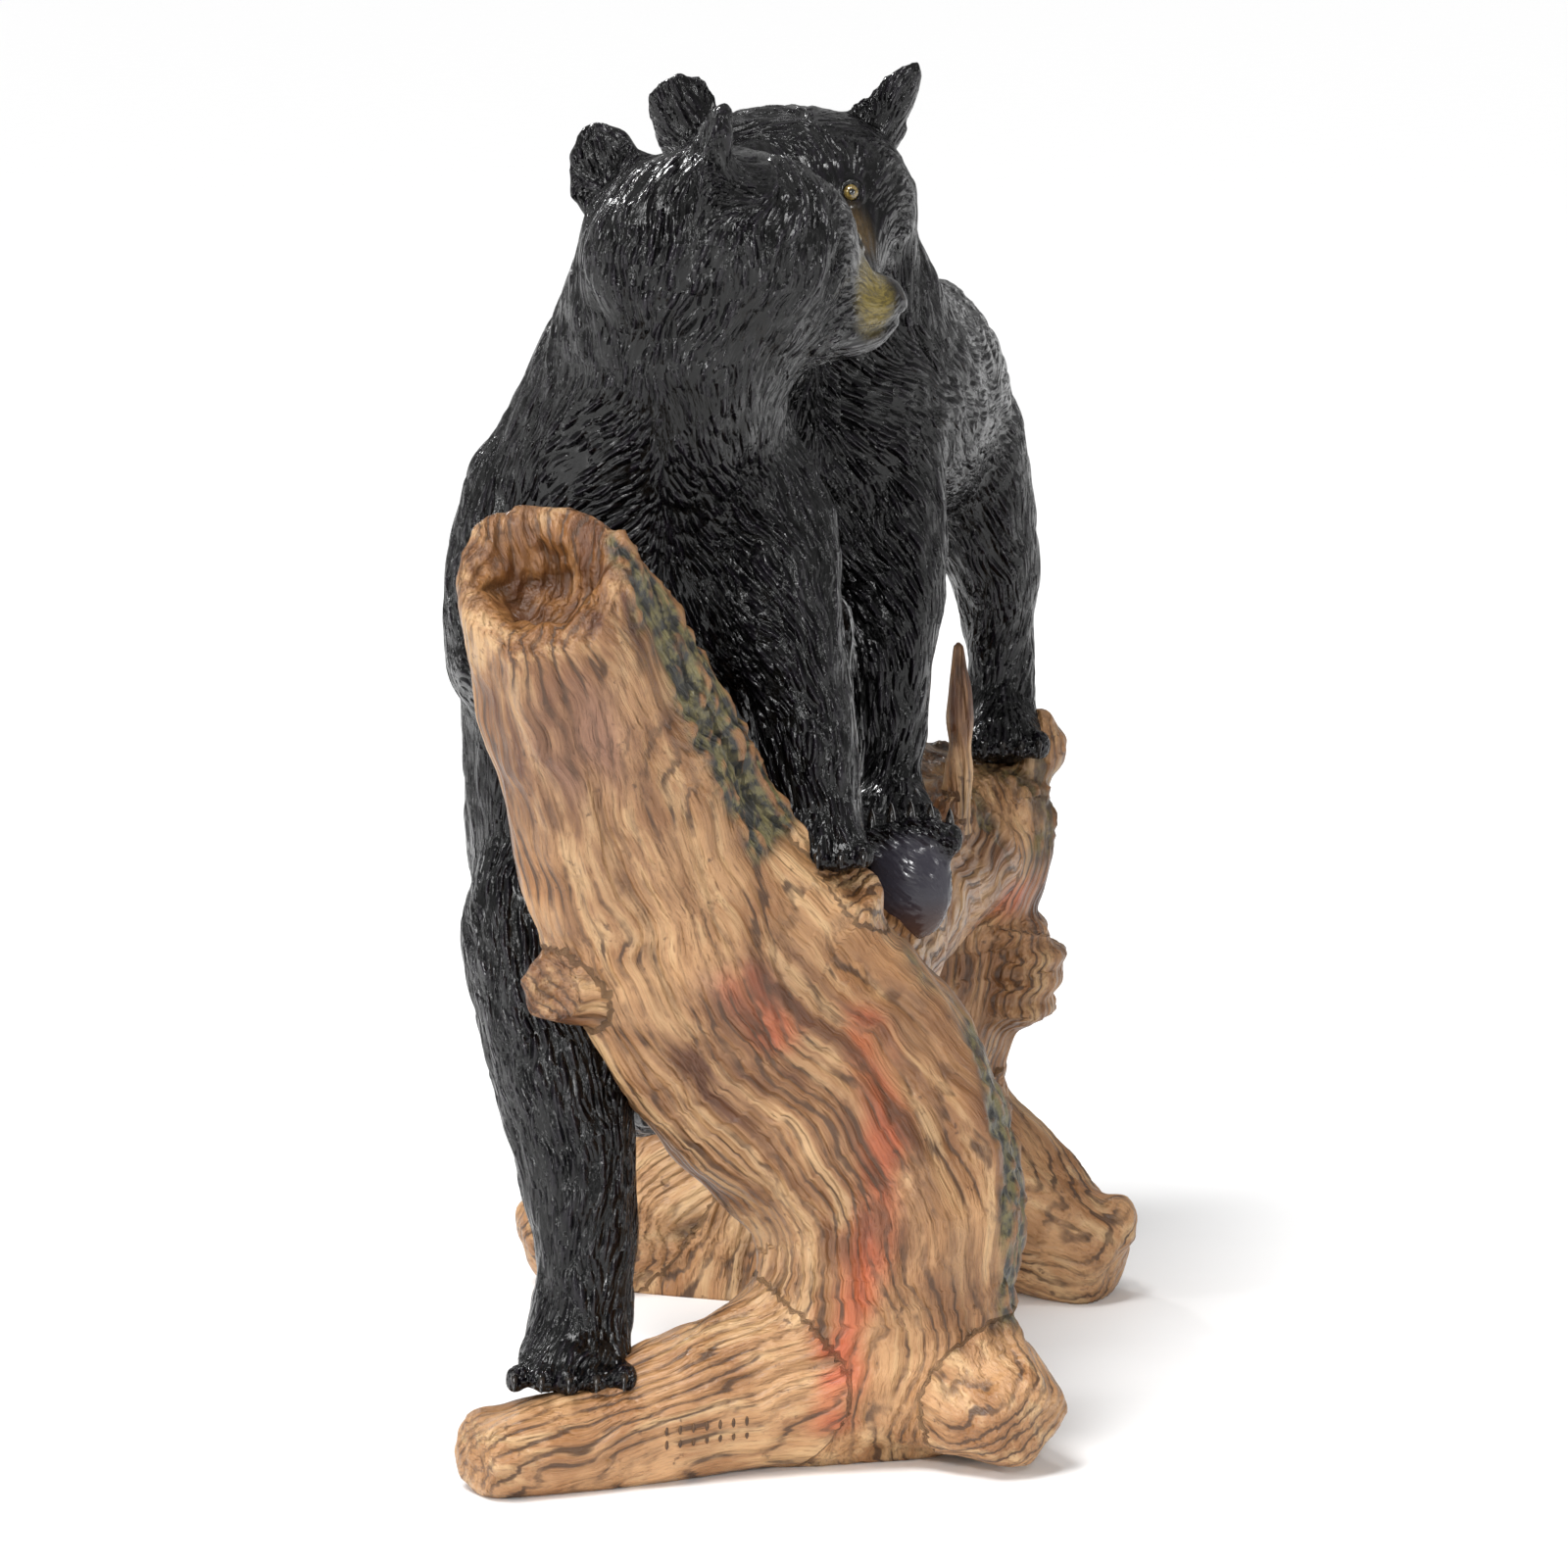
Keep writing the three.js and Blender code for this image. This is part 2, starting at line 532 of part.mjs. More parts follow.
function addNode(name, solid, colour, roughness) {
  const finish = new THREE.MeshStandardMaterial({ color: colour, roughness, metalness: 0 });
  const mesh = new THREE.Mesh(geometryOf(solid), finish);
  mesh.name = name;
  mesh.position.copy(centreline).negate();
  statue.add(mesh);
}

const log = driftwoodLog();
const seat = logMass(castingGap);
const sitter = sittingBear(seat);
const stander = standingBear(seat);
const sitterEyes = eyes(sitter, sitting.eyes);
const standerEyes = eyes(stander, standing.eyes);
const whole = new THREE.Box3();
for (const solid of [log, sitterEyes.solid, standerEyes.solid]) {
  const box = solid.boundingBox();
  whole.expandByPoint(new THREE.Vector3(...box.min));
  whole.expandByPoint(new THREE.Vector3(...box.max));
}
whole.getCenter(centreline);
centreline.z = whole.min.z;

addNode('driftwood_log', log, woodColour, 0.5);
addNode('sitting_bear', sitterEyes.solid, furColour, 0.35);
addNode('standing_bear', standerEyes.solid, furColour, 0.35);
addNode('sitting_bear_eye_right', sitterEyes.beads[0], eyeColour, 0.1);
addNode('sitting_bear_eye_left', sitterEyes.beads[1], eyeColour, 0.1);
addNode('standing_bear_eye_right', standerEyes.beads[0], eyeColour, 0.1);
addNode('standing_bear_eye_left', standerEyes.beads[1], eyeColour, 0.1);

export default statue;
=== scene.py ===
"""Dresses the two bear log statue: painted fur, painted driftwood, glass eyes and a studio stage."""
import math

import bpy
import numpy as np
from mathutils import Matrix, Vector
from mathutils.bvhtree import BVHTree


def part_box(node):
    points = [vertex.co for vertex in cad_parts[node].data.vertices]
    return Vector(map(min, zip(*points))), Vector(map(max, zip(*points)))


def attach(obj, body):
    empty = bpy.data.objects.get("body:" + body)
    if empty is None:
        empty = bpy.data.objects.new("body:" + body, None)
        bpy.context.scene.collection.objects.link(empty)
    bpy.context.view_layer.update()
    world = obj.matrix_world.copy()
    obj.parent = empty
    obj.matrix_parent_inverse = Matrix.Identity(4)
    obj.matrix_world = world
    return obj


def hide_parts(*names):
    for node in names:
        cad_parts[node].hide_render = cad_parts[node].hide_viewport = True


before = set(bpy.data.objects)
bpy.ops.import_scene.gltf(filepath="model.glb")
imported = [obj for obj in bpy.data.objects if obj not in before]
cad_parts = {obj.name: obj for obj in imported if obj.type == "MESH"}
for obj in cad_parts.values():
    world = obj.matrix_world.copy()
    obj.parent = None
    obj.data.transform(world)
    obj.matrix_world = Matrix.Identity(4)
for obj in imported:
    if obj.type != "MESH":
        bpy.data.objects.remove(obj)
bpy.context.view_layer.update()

bl_info = {
    "name": "Two bear log statue",
    "version": (1, 0, 0),
    "blender": (4, 5, 0),
    "location": "View3D > Sidebar > Statue",
    "description": "Builds a painted resin statue of two bears on a driftwood log",
    "category": "Object",
}

MM = 0.001
EYE_NODES = ("sitting_bear_eye_right", "sitting_bear_eye_left",
             "standing_bear_eye_right", "standing_bear_eye_left")

# The pose, in millimetres: every row is [x, y, z, half width, half depth]. A head's rows are
# [distance along its heading, z, half width, half depth], an ear's numbers are its root, its tip,
# its turn in radians and its widths from root to tip. The eyes are a place along the head's rows
# and an angle round it, and the wash says where the muzzle's paint lies.
SITTING = {
    "torso": [[-52, -44, 138, 42, 42], [-59, -42, 168, 51, 48], [-63, -42, 208, 53, 50],
              [-64, -42, 250, 54, 48], [-62, -45, 295, 54, 46], [-57, -51, 335, 51, 43],
              [-47, -68, 368, 45, 47], [-40, -84, 397, 40, 46], [-36, -90, 420, 38, 38]],
    "left_arm": [[-24, -56, 345, 26, 26], [-10, -62, 322, 25, 26], [-2, -76, 286, 20, 22],
                 [5, -86, 248, 17, 19], [8, -92, 222, 17, 17]],
    "right_arm": [[-90, -52, 332, 26, 26], [-100, -56, 305, 22, 24], [-104, -62, 278, 19, 20],
                  [-96, -88, 268, 17, 17], [-84, -108, 272, 16, 15]],
    "right_leg": [[-66, -52, 192, 34, 40], [-88, -66, 182, 29, 36], [-82, -92, 148, 27, 31],
                  [-76, -110, 108, 22, 24], [-72, -118, 74, 18, 20], [-74, -122, 50, 19, 20]],
    "left_leg": [[-34, -40, 180, 36, 34], [0, -32, 196, 26, 26], [24, -34, 196, 19, 20],
                 [38, -44, 190, 15, 17]],
    "skull": (-20, -95),
    "heading": (0.85, 0.53),
    "head": [[-34, 417, 26, 27], [-22, 420, 37, 34], [-4, 420, 41, 37], [16, 412, 35, 37],
             [30, 404, 24, 28], [43, 399, 18, 20], [52, 398, 15, 16.5], [60, 400, 11, 11]],
    "eyes": (4.4, 1.3),
    "ears": [((-24, -120, 432), (-22, -127, 469.5), -0.45, (0.8, 1, 0.96, 0.7, 0.36)),
             ((-52, -66, 428), (-68, -62, 458), 0.6, (0.8, 1, 0.98, 0.76, 0.42))],
    "ear_width": 17,
    "ear_depth": 15,
    "nape": ((-49, -76, 407), (25, 30, 27)),
    "parting": -47,
    "wash": (14, 14, 6, 17, 14, 24),
    "sole": ((41, -62, 191), (17, 21)),
    "seed": 101,
}
STANDING = {
    "body": [[0, 38, 416, 40, 38], [8, 52, 390, 43, 44], [20, 70, 358, 44, 50],
             [30, 98, 347, 43, 48], [37, 130, 342, 42, 48], [42, 160, 340, 40, 47],
             [44, 184, 334, 31, 40]],
    "chest": [[6, 46, 392, 38, 34], [14, 52, 345, 42, 38], [16, 50, 308, 34, 28]],
    "fore_left": [[30, 54, 345, 24, 28], [37, 40, 290, 19, 21], [35, 35, 250, 15, 16],
                  [35, 34, 215, 13, 14]],
    "fore_right": [[0, 54, 345, 24, 28], [-3, 42, 290, 18, 20], [-5, 38, 250, 14, 16],
                   [-5, 37, 212, 13, 14]],
    "hind_left": [[62, 158, 322, 27, 36], [75, 163, 280, 19, 26], [79, 170, 246, 14, 17],
                  [79, 165, 220, 14, 15]],
    "hind_right": [[22, 158, 322, 27, 36], [16, 163, 280, 20, 26], [14, 170, 246, 14, 17],
                   [14, 165, 220, 14, 15]],
    "skull": (-2, 28),
    "heading": (0.34, -0.94),
    "head": [[-30, 422, 26, 26], [-16, 424, 42, 35], [2, 424, 47, 37], [20, 420, 42, 34],
             [34, 412, 29, 22], [47, 406, 19, 15.5], [58, 403, 15, 13], [66, 402, 11, 10]],
    "eyes": (3.8, 1.32),
    "ears": [((-34, 40, 440), (-44, 38, 468.5), -0.4, (0.8, 0.96, 0.94, 0.74, 0.42)),
             ((30, 46, 442), (45, 48, 473), 0.4, (0.95, 1, 0.76, 0.46, 0.18))],
    "ear_width": 15.5,
    "ear_depth": 10,
    "parting": 8,
    "wash": (18, 15, 10, 14, 6, 10),
    "seed": 202,
    "paws": [(35, 24, 206), (-5, 26, 203), (79, 154, 211), (14, 154, 211)],
}
BRANCH = [[-85, -172, 321, 30, 29], [-76, -156, 290, 35, 32], [-64, -140, 255, 39, 34],
          [-46, -121, 206, 45, 37], [-14, -102, 158, 53, 42], [18, -98, 120, 53, 42],
          [34, -103, 90, 47, 40], [33, -106, 60, 46, 36], [30, -102, 30, 50, 30],
          [30, -96, 4, 52, 24]]
BRANCH_END_SLANT = 13
BARK = [[-55, -150, 312, 8, 9], [-44, -143, 288, 12, 12], [-34, -133, 266, 13, 13],
        [-24, -123, 244, 12, 12], [-8, -113, 220, 10, 10], [12, -106, 196, 8, 8]]
ROOTS = {
    "front_left": [[18, -106, 36, 36, 34], [-22, -122, 28, 29, 27], [-70, -144, 17, 20, 21],
                   [-108, -160, 14, 16, 18]],
    "front_right": [[42, -104, 36, 34, 32], [64, -120, 26, 26, 26], [80, -140, 19, 17, 18]],
    "far_right": [[50, 146, 50, 38, 38], [82, 134, 32, 30, 32], [104, 124, 20, 25, 25],
                  [119, 117, 14, 21, 22]],
    "far_left": [[-20, 150, 46, 40, 36], [-56, 142, 30, 30, 30], [-84, 134, 20, 24, 22],
                 [-96, 130, 16, 18, 18]],
    "back": [[20, 165, 44, 40, 34], [14, 186, 24, 32, 26], [10, 196, 14, 24, 20]],
}
BRIDGE = [[-2, -74, 158, 44, 40], [8, -30, 160, 42, 38], [18, 20, 166, 42, 33],
          [26, 66, 168, 42, 32], [36, 118, 170, 46, 33], [44, 150, 172, 50, 34]]
STUMP = [[12, 154, -4, 92, 46], [13, 153, 24, 80, 46], [14, 152, 56, 70, 45],
         [15, 151, 90, 67, 44], [24, 152, 118, 64, 43], [31, 154, 150, 54, 41],
         [42, 157, 176, 58, 40], [45, 158, 196, 54, 34]]
KNOB = [[-84, -146, 172, 12, 12], [-80, -138, 172, 14, 14], [-62, -126, 176, 17, 17]]
STUB = [[19, -111, 203, 12.5, 12.5], [18, -106, 196, 14, 14], [14, -96, 178, 16, 16]]
SPIKE = [[60, 82, 180, 6, 6], [61, 80, 225, 5.5, 5.5], [61, 79, 258, 4.5, 4.5]]
SLABS = [[72, 148, 149, 20, 30], [78, 150, 138, 21, 30], [85, 152, 128, 22, 29],
         [82, 151, 118, 23, 30], [80, 150, 107, 22, 30]]
SLAB_HALF_HEIGHT = 5.5
# Where the paint changes, as lines along the wood.
BARK_LINES = [[(-54, -158, 326), (-41, -150, 296), (-30, -140, 270), (-19, -130, 246),
               (-9, -124, 230)],
              [(50, -118, 184), (66, -116, 161), (75, -112, 138), (80, -108, 104), (78, -106, 58)]]
RED_LINES = [[(24, -142, 158), (32, -142, 124), (27, -140, 90), (17, -136, 55), (13, -130, 22)],
             [(-18, -146, 174), (-6, -146, 160)], [(52, 118, 154), (92, 126, 152)]]
# The small marks on the front left root: where the row starts and ends, x and z.
MARKS = [(-46, 18.5), (-14, 20)]
MARK_PAIRS = 7

# How a hollow end turns inwards: each place along the part with its share of the section.
BRANCH_HOLLOW = [(0.56, 0.12), (0.53, 0.3), (0.44, 0.44), (0.28, 0.54), (0.12, 0.62), (0.0, 0.7),
                 (0.0, 0.82), (0.0, 0.95)]
PIT = [(0.55, 0.3), (0.4, 0.5), (0.15, 0.6), (0.0, 0.7), (0.0, 0.9)]
# The angles in degrees at which the rings of a rounded end stand.
CAP_ANGLES = [15, 32, 48, 62, 74, 84]
# The share of an eye bead's diameter by which its middle lies under the head's skin.
EYE_SINK = 0.15
# A crease is filled by no more than this, in millimetres.
CREASE_LIMIT = 9

# Strokes take one of so many fixed directions, set apart by the golden angle in radians.
DIRECTIONS = 120
GOLDEN_ANGLE = 2.39996
# The shader's strokes and hairs, in millimetres.
HAIR_WIDTH = 2.6
FINE_HAIR_WIDTH = 0.9

# Paints that have no setting of their own.
PAINT = {
    "fur gap": "#040404", "muzzle shade": "#2E2510", "enamel": "#0E0D0E", "worn enamel": "#2A241F",
    "band wash": "#8A6038", "grain wash": "#7A5230", "blotch wash": "#6E4A2C",
    # The hollow paint is painted shade: a darker brown inside the branch's hollow end.
    "hollow": "#94622F", "deep wash": "#4A3018", "foot wash": "#55321B", "groove line": "#412812",
    "dark spot": "#3E2614", "mark": "#3A2614", "worn mark": "#5C4025",
    "iris streak": "#4E3E20", "pupil": "#050505", "eye rim": "#0A0908",
    "floor": "#FDFDFD", "floor speck": "#FAFAFA",
}

# A wide sun whitens the floor evenly; the small lamps only put glints on the gloss.
# Each row is a lamp's name, kind, place in metres, size (of the sun: angle) and power.
LAMPS = [("sun", "SUN", (-0.6, -0.7, 2.2), 0.4, 2.5), ("key", "AREA", (-1.3, -1.6, 1.3), 0.2, 10),
         ("front", "AREA", (0.3, -2.2, 1.1), 0.2, 10), ("side", "AREA", (-2.0, -0.9, 0.6), 0.25, 11),
         ("fill", "AREA", (1.7, -1.3, 0.7), 0.2, 7), ("low", "AREA", (-1.0, -2.0, 0.25), 0.2, 7),
         ("top", "AREA", (0.2, -0.3, 1.9), 0.2, 4), ("back", "AREA", (-0.9, 1.8, 1.2), 0.2, 7)]
LAMPS_FACE = Vector((0.0, 0.0, 0.24))
WORLD_STRENGTH = 0.38
FLOOR_REACH = 30.0

# The camera, in metres. The photograph takes in 7384 of its own pixels for each unit of slope.
PIXELS_PER_SLOPE = 7384
PHOTO_WIDTH = 1600
SENSOR_WIDTH = 36
CAMERA_TARGET = Vector((-0.0035, 0.0, 0.219))
CAMERA_ELEVATION = math.radians(10)
CAMERA_DISTANCE = 2.6
CAMERA_REACH = 30

UP = np.array([0.0, 0.0, 1.0])
# Painted lines are measured as seen from the front, so depth counts for little.
FLAT = np.array([1.0, 0.3, 1.0])


# Surfaces worked out as whole arrays

def spline_rows(rows, t):
    """A smooth blend of every column of rows at the places t: a Catmull-Rom cubic through them."""
    rows = np.asarray(rows, float)
    last = len(rows) - 1
    i = np.minimum(t.astype(int), last - 1)
    u = (t - i)[:, None]
    p, q, r, s = (rows[np.clip(i + k, 0, last)] for k in (-1, 0, 1, 2))
    return 0.5 * (2 * q + (r - p) * u + (2 * p - 5 * q + 4 * r - s) * u ** 2
                  + (3 * q - p - 3 * r + s) * u ** 3)


def norm(v):
    """The length of each vector: the root of the sum of its squares."""
    return np.linalg.norm(v, axis=-1)


def dot(a, b):
    """The sum of the products of two vectors, for each pair."""
    return np.sum(a * b, axis=-1)


def unit(v):
    """Each vector divided by its length."""
    return v / np.maximum(np.linalg.norm(v, axis=-1, keepdims=True), 1e-12)


def ring_frames(rows, side, t):
    """Centre, direction, width axis, depth axis and the two half sizes at the places t."""
    last = len(rows) - 1
    here = spline_rows(rows, t)
    ahead = spline_rows(rows, np.minimum(t + 0.02, last))
    behind = spline_rows(rows, np.maximum(t - 0.02, 0))
    along = unit(ahead[:, :3] - behind[:, :3])
    side = np.asarray(side, float)
    wide = unit(side - along * (along @ side)[:, None])
    return here[:, :3], along, wide, np.cross(along, wide), here[:, 3], here[:, 4]


def ring_faces(rings, sides):
    """Quads between each ring of vertices and the next, and one face to close each end."""
    grid = np.arange(rings * sides).reshape(rings, sides)
    beside = np.roll(grid, -1, axis=1)
    quads = np.stack([grid[:-1], beside[:-1], beside[1:], grid[1:]], -1).reshape(-1, 4)
    return quads.tolist() + [grid[0][::-1].tolist(), grid[-1].tolist()]


def sweep(part):
    """A closed skin: an ellipse carried along the rows, with ends that close as parts of a ball.

    A ring of an end is smaller by the cosine of its angle and stands out by the sine. A ridge
    swells the ellipse by a share of its size, a curl bends a flat section into a dish, and a
    hollow turns the first end inwards, as a list of [place, share of the section]. With a slant,
    the first end's front edge moves in by that much and its back edge out.
    """
    rows = part["rows"]
    sides = part.get("sides", 40)
    last = len(rows) - 1
    t = np.linspace(0, last, last * part.get("per_row", 8) + 1)
    phi = np.radians(CAP_ANGLES)
    start, end = part.get("round", (0.9, 0.9))
    hollow = part.get("hollow")
    if hollow:
        first_t, first_scale = zip(*hollow)
        first_push = [0.0] * len(hollow)
    else:
        first_t = [0.0] * len(phi)
        first_scale, first_push = np.cos(phi)[::-1], -np.sin(phi)[::-1] * start
    places = np.concatenate([first_t, t, [last] * len(phi)])
    scale = np.concatenate([first_scale, np.ones(len(t)), np.cos(phi)])
    push = np.concatenate([first_push, np.zeros(len(t)), np.sin(phi) * end])
    centre, along, wide, deep, a, b = ring_frames(rows, part.get("side", (1, 0, 0)), places)
    angle = np.linspace(0, 2 * np.pi, sides, endpoint=False)[None, :]
    ridge = part.get("ridge")
    swell = scale[:, None] * (1 + ridge(angle, places[:, None]) if ridge else np.ones_like(angle))
    x = np.cos(angle) * a[:, None] * swell
    y = np.sin(angle) * b[:, None] * swell
    y = y + part.get("curl", 0) * (x / np.max(a)) ** 2
    reach = (np.minimum(a, b) * push)[:, None]
    lean = part.get("slant", 0) * np.minimum(scale, 1) * np.clip(1 - places, 0, 1) ** 2
    reach = reach + lean[:, None] * np.sin(angle)
    points = (centre[:, None] + along[:, None] * reach[..., None]
              + wide[:, None] * x[..., None] + deep[:, None] * y[..., None])
    return points.reshape(-1, 3), ring_faces(len(places), sides)


def ball(centre, halves, axes=np.eye(3), sides=24, rings=14):
    """A closed ellipsoid on a grid of angles, its three axes given as rows."""
    v = np.linspace(0.04, np.pi - 0.04, rings)[:, None]
    u = np.linspace(0, 2 * np.pi, sides, endpoint=False)[None, :]
    local = np.stack([np.sin(v) * np.cos(u), np.sin(v) * np.sin(u),
                      -np.cos(v) * np.ones_like(u)], -1)
    centre, halves, axes = (np.asarray(value, float) for value in (centre, halves, axes))
    points = centre + (local * halves) @ axes
    return points.reshape(-1, 3), ring_faces(rings, sides)


def grooves(depth, turn):
    """Long grooves round weathered wood: three cosines of the angle that twist along the length."""
    return lambda angle, t: depth * (0.5 * np.cos(3 * angle + turn * t)
                                     + 0.35 * np.cos(5 * angle - 0.7 * turn * t + 2)
                                     + 0.25 * np.cos(8 * angle + 1))


def lattice_noise(points, size, seed):
    """Smooth noise from -1 to 1: random values on a lattice of the given size, blended between."""
    table = np.random.default_rng(seed).uniform(-1, 1, 4096)
    q = points / size
    cell = np.floor(q).astype(np.int64)
    f = q - cell
    f = f * f * (3 - 2 * f)
    total = np.zeros(len(points))
    for corner in np.ndindex(2, 2, 2):
        c = cell + np.array(corner)
        key = (c[:, 0] * 73856093) ^ (c[:, 1] * 19349663) ^ (c[:, 2] * 83492791)
        weight = np.prod(np.where(np.array(corner) == 1, f, 1 - f), axis=1)
        total += weight * table[key & 4095]
    return total


# Skins joined into one mesh, and the fur or grain on it

def new_object(name, points, faces):
    """An object with a mesh of its own, linked to the scene."""
    mesh = bpy.data.meshes.new(name)
    mesh.from_pydata(points, [], faces)
    mesh.update()
    made = bpy.data.objects.new(name, mesh)
    bpy.context.scene.collection.objects.link(made)
    return made


def merged(pieces):
    """Pairs of points and faces as one pair: each face's numbers move on by the points before."""
    faces, base = [], 0
    for points, polys in pieces:
        faces += [[i + base for i in poly] for poly in polys]
        base += len(points)
    return np.concatenate([points for points, _ in pieces]), faces


def joined_skin(name, pieces, voxel):
    """One closed skin round all the pieces, as vertices and quads in millimetres."""
    points, faces = merged(pieces)
    raw = new_object(name + "_raw", points.tolist(), faces)
    remesh = raw.modifiers.new("skin", "REMESH")
    remesh.mode = "VOXEL"
    remesh.voxel_size = voxel
    baked = bpy.data.meshes.new_from_object(raw.evaluated_get(bpy.context.evaluated_depsgraph_get()))
    verts = np.empty(len(baked.vertices) * 3)
    baked.vertices.foreach_get("co", verts)
    corners = np.empty(len(baked.loops), dtype=np.int64)
    baked.loops.foreach_get("vertex_index", corners)
    mesh = raw.data
    bpy.data.objects.remove(raw)
    bpy.data.meshes.remove(mesh)
    bpy.data.meshes.remove(baked)
    return verts.reshape(-1, 3), corners.reshape(-1, 4)


class Skin:
    """A skin's vertices, quads and neighbours, with the sums that smooth and comb it."""

    def __init__(self, verts, quads):
        """Keeps the skin and lists both ends, a and b, of every edge and every quad's diagonals."""
        self.verts = verts
        self.quads = quads
        ends = ([0, 1], [1, 2], [2, 3], [3, 0], [0, 2], [1, 3])
        pairs = np.concatenate([quads[:, pair] for pair in ends])
        pairs = np.unique(np.sort(pairs, axis=1), axis=0)
        self.a = np.concatenate([pairs[:, 0], pairs[:, 1]])
        self.b = np.concatenate([pairs[:, 1], pairs[:, 0]])

    def spread(self, values, weight=None):
        """The mean of each vertex's neighbours, weighted where a weight is given."""
        n = len(self.verts)
        w = np.ones(len(self.a)) if weight is None else weight
        total = np.maximum(np.bincount(self.a, w, n), 1e-9)
        if values.ndim == 1:
            return np.bincount(self.a, w * values[self.b], n) / total
        return np.stack([np.bincount(self.a, w * values[self.b, c], n) for c in range(3)], -1) \
            / total[:, None]

    def smooth(self, values, rounds, share=0.5):
        """Moves each value by a share of the way to its neighbours' mean, round after round."""
        for _ in range(rounds):
            values = (1 - share) * values + share * self.spread(values)
        return values

    def normals(self):
        """The outward direction at each vertex: the sum of its quads' crossed diagonals."""
        q = self.verts[self.quads]
        across = np.cross(q[:, 2] - q[:, 0], q[:, 3] - q[:, 1])
        total = np.stack([np.bincount(self.quads.ravel(), np.repeat(across[:, c], 4),
                                      len(self.verts)) for c in range(3)], -1)
        return unit(total)

    def creases(self, normal, rounds):
        """How far the smoothed skin stands over each vertex, from 0 to the limit."""
        over = dot(self.smooth(self.verts, rounds) - self.verts, normal)
        return np.clip(over, 0, CREASE_LIMIT)

    def relief(self, rounds):
        """How far each vertex stands over the smoothed skin, in units of the spread of that."""
        over = dot(self.verts - self.smooth(self.verts, rounds), self.normals())
        return over / over.std()

    def combed(self, flow, rounds, seed, soften=0, sharpness=8):
        """Noise dragged along the flow: each round takes a mean of the neighbours that lie on it.

        A neighbour's weight is the cosine of its angle to the flow, to the power of the sharpness.
        """
        drawn = np.random.default_rng(seed).standard_normal(len(self.verts))
        drawn = self.smooth(drawn, soften) if soften else drawn
        edge = unit(self.verts[self.b] - self.verts[self.a])
        weight = np.abs(dot(edge, flow[self.a])) ** sharpness
        for _ in range(rounds):
            drawn = 0.45 * drawn + 0.55 * self.spread(drawn, weight)
        return drawn / drawn.std()


def nearest_part(points, parts):
    """For each point: the blended direction of the parts near it, and its place in the nearest.

    The place is [distance along the part, offset on its two cross axes], so a pattern can
    follow the part. Distances are taken as shares of the part's own thickness, and a direction's
    weight falls off as the exponential of -6 times the share by which it is further than the least.
    """
    centre, along, wide, deep, size, length = [], [], [], [], [], []
    for part in parts:
        t = np.linspace(0, len(part["rows"]) - 1, (len(part["rows"]) - 1) * 5 + 1)
        c, d, w, p, a, b = ring_frames(part["rows"], part.get("side", (1, 0, 0)), t)
        step = norm(np.diff(c, axis=0, prepend=c[:1]))
        centre.append(c), along.append(d * part.get("flow", 1)), wide.append(w), deep.append(p)
        size.append((a + b) / 2), length.append(np.cumsum(step) + 1000 * len(length))
    centre, along, wide, deep = (np.concatenate(v) for v in (centre, along, wide, deep))
    size, length = np.concatenate(size), np.concatenate(length)
    flow = np.empty_like(points)
    place = np.empty_like(points)
    for chunk in np.array_split(np.arange(len(points)), max(1, len(points) // 8000)):
        gap = points[chunk][:, None] - centre[None]
        ratio = norm(gap) / size[None]
        weight = np.exp(-6.0 * (ratio - ratio.min(axis=1, keepdims=True)))
        flow[chunk] = weight @ along
        k = ratio.argmin(axis=1)
        g = points[chunk] - centre[k]
        place[chunk] = np.stack([length[k] + dot(g, along[k]), dot(g, wide[k]),
                                 dot(g, deep[k])], -1)
    return flow, place


def on_surface(flow, normal):
    """The flow with its part along the normal taken away, at length 1."""
    return unit(flow - normal * dot(flow, normal)[:, None])


def turned(flow, normal, angle):
    """The flow turned within the surface: its cosine share, and its cross product's sine share."""
    return flow * np.cos(angle)[:, None] + np.cross(normal, flow) * np.sin(angle)[:, None]


def line_distance(points, line):
    """The distance from each point to a line of straight stretches."""
    best = np.full(len(points), 1e9)
    line = np.asarray(line, float)
    for p, q in zip(line[:-1], line[1:]):
        d = q - p
        u = np.clip((points - p) @ d / (d @ d), 0, 1)
        best = np.minimum(best, norm(points - p - u[:, None] * d))
    return best


def falloff(distance, inner, outer):
    """1 inside the inner distance, 0 outside the outer one, and x * x * (3 - 2 * x) between."""
    x = np.clip((outer - distance) / (outer - inner), 0, 1)
    return x * x * (3 - 2 * x)


def stroke_places(skin, flow, stretch, seed):
    """Coordinates for a pattern of strokes that are long along the flow, one set per quad corner.

    Each quad takes the nearest of the fixed directions d, with e and n at right angles to it, and
    a corner p gets [stretch * p.d, p.e, p.n]. A slow noise bends p so strokes curve a little.
    """
    n = np.arange(DIRECTIONS) + 0.5
    flat, turn = np.sqrt(1 - (n / DIRECTIONS) ** 2), GOLDEN_ANGLE * n
    d = np.stack([flat * np.cos(turn), flat * np.sin(turn), n / DIRECTIONS], -1)
    e = unit(np.cross(d, np.where(d[:, 2:] > 0.9, [[1.0, 0, 0]], [[0, 0, 1.0]])))
    axes = np.stack([d * stretch, e, np.cross(d, e)], axis=1)
    nearest = np.abs(unit(flow[skin.quads].sum(axis=1)) @ d.T).argmax(axis=1)
    bend = np.stack([1.3 * lattice_noise(skin.verts, 10, seed + k) for k in range(3)], -1)
    return np.einsum("qij,qcj->qci", axes[nearest], (skin.verts + bend)[skin.quads])


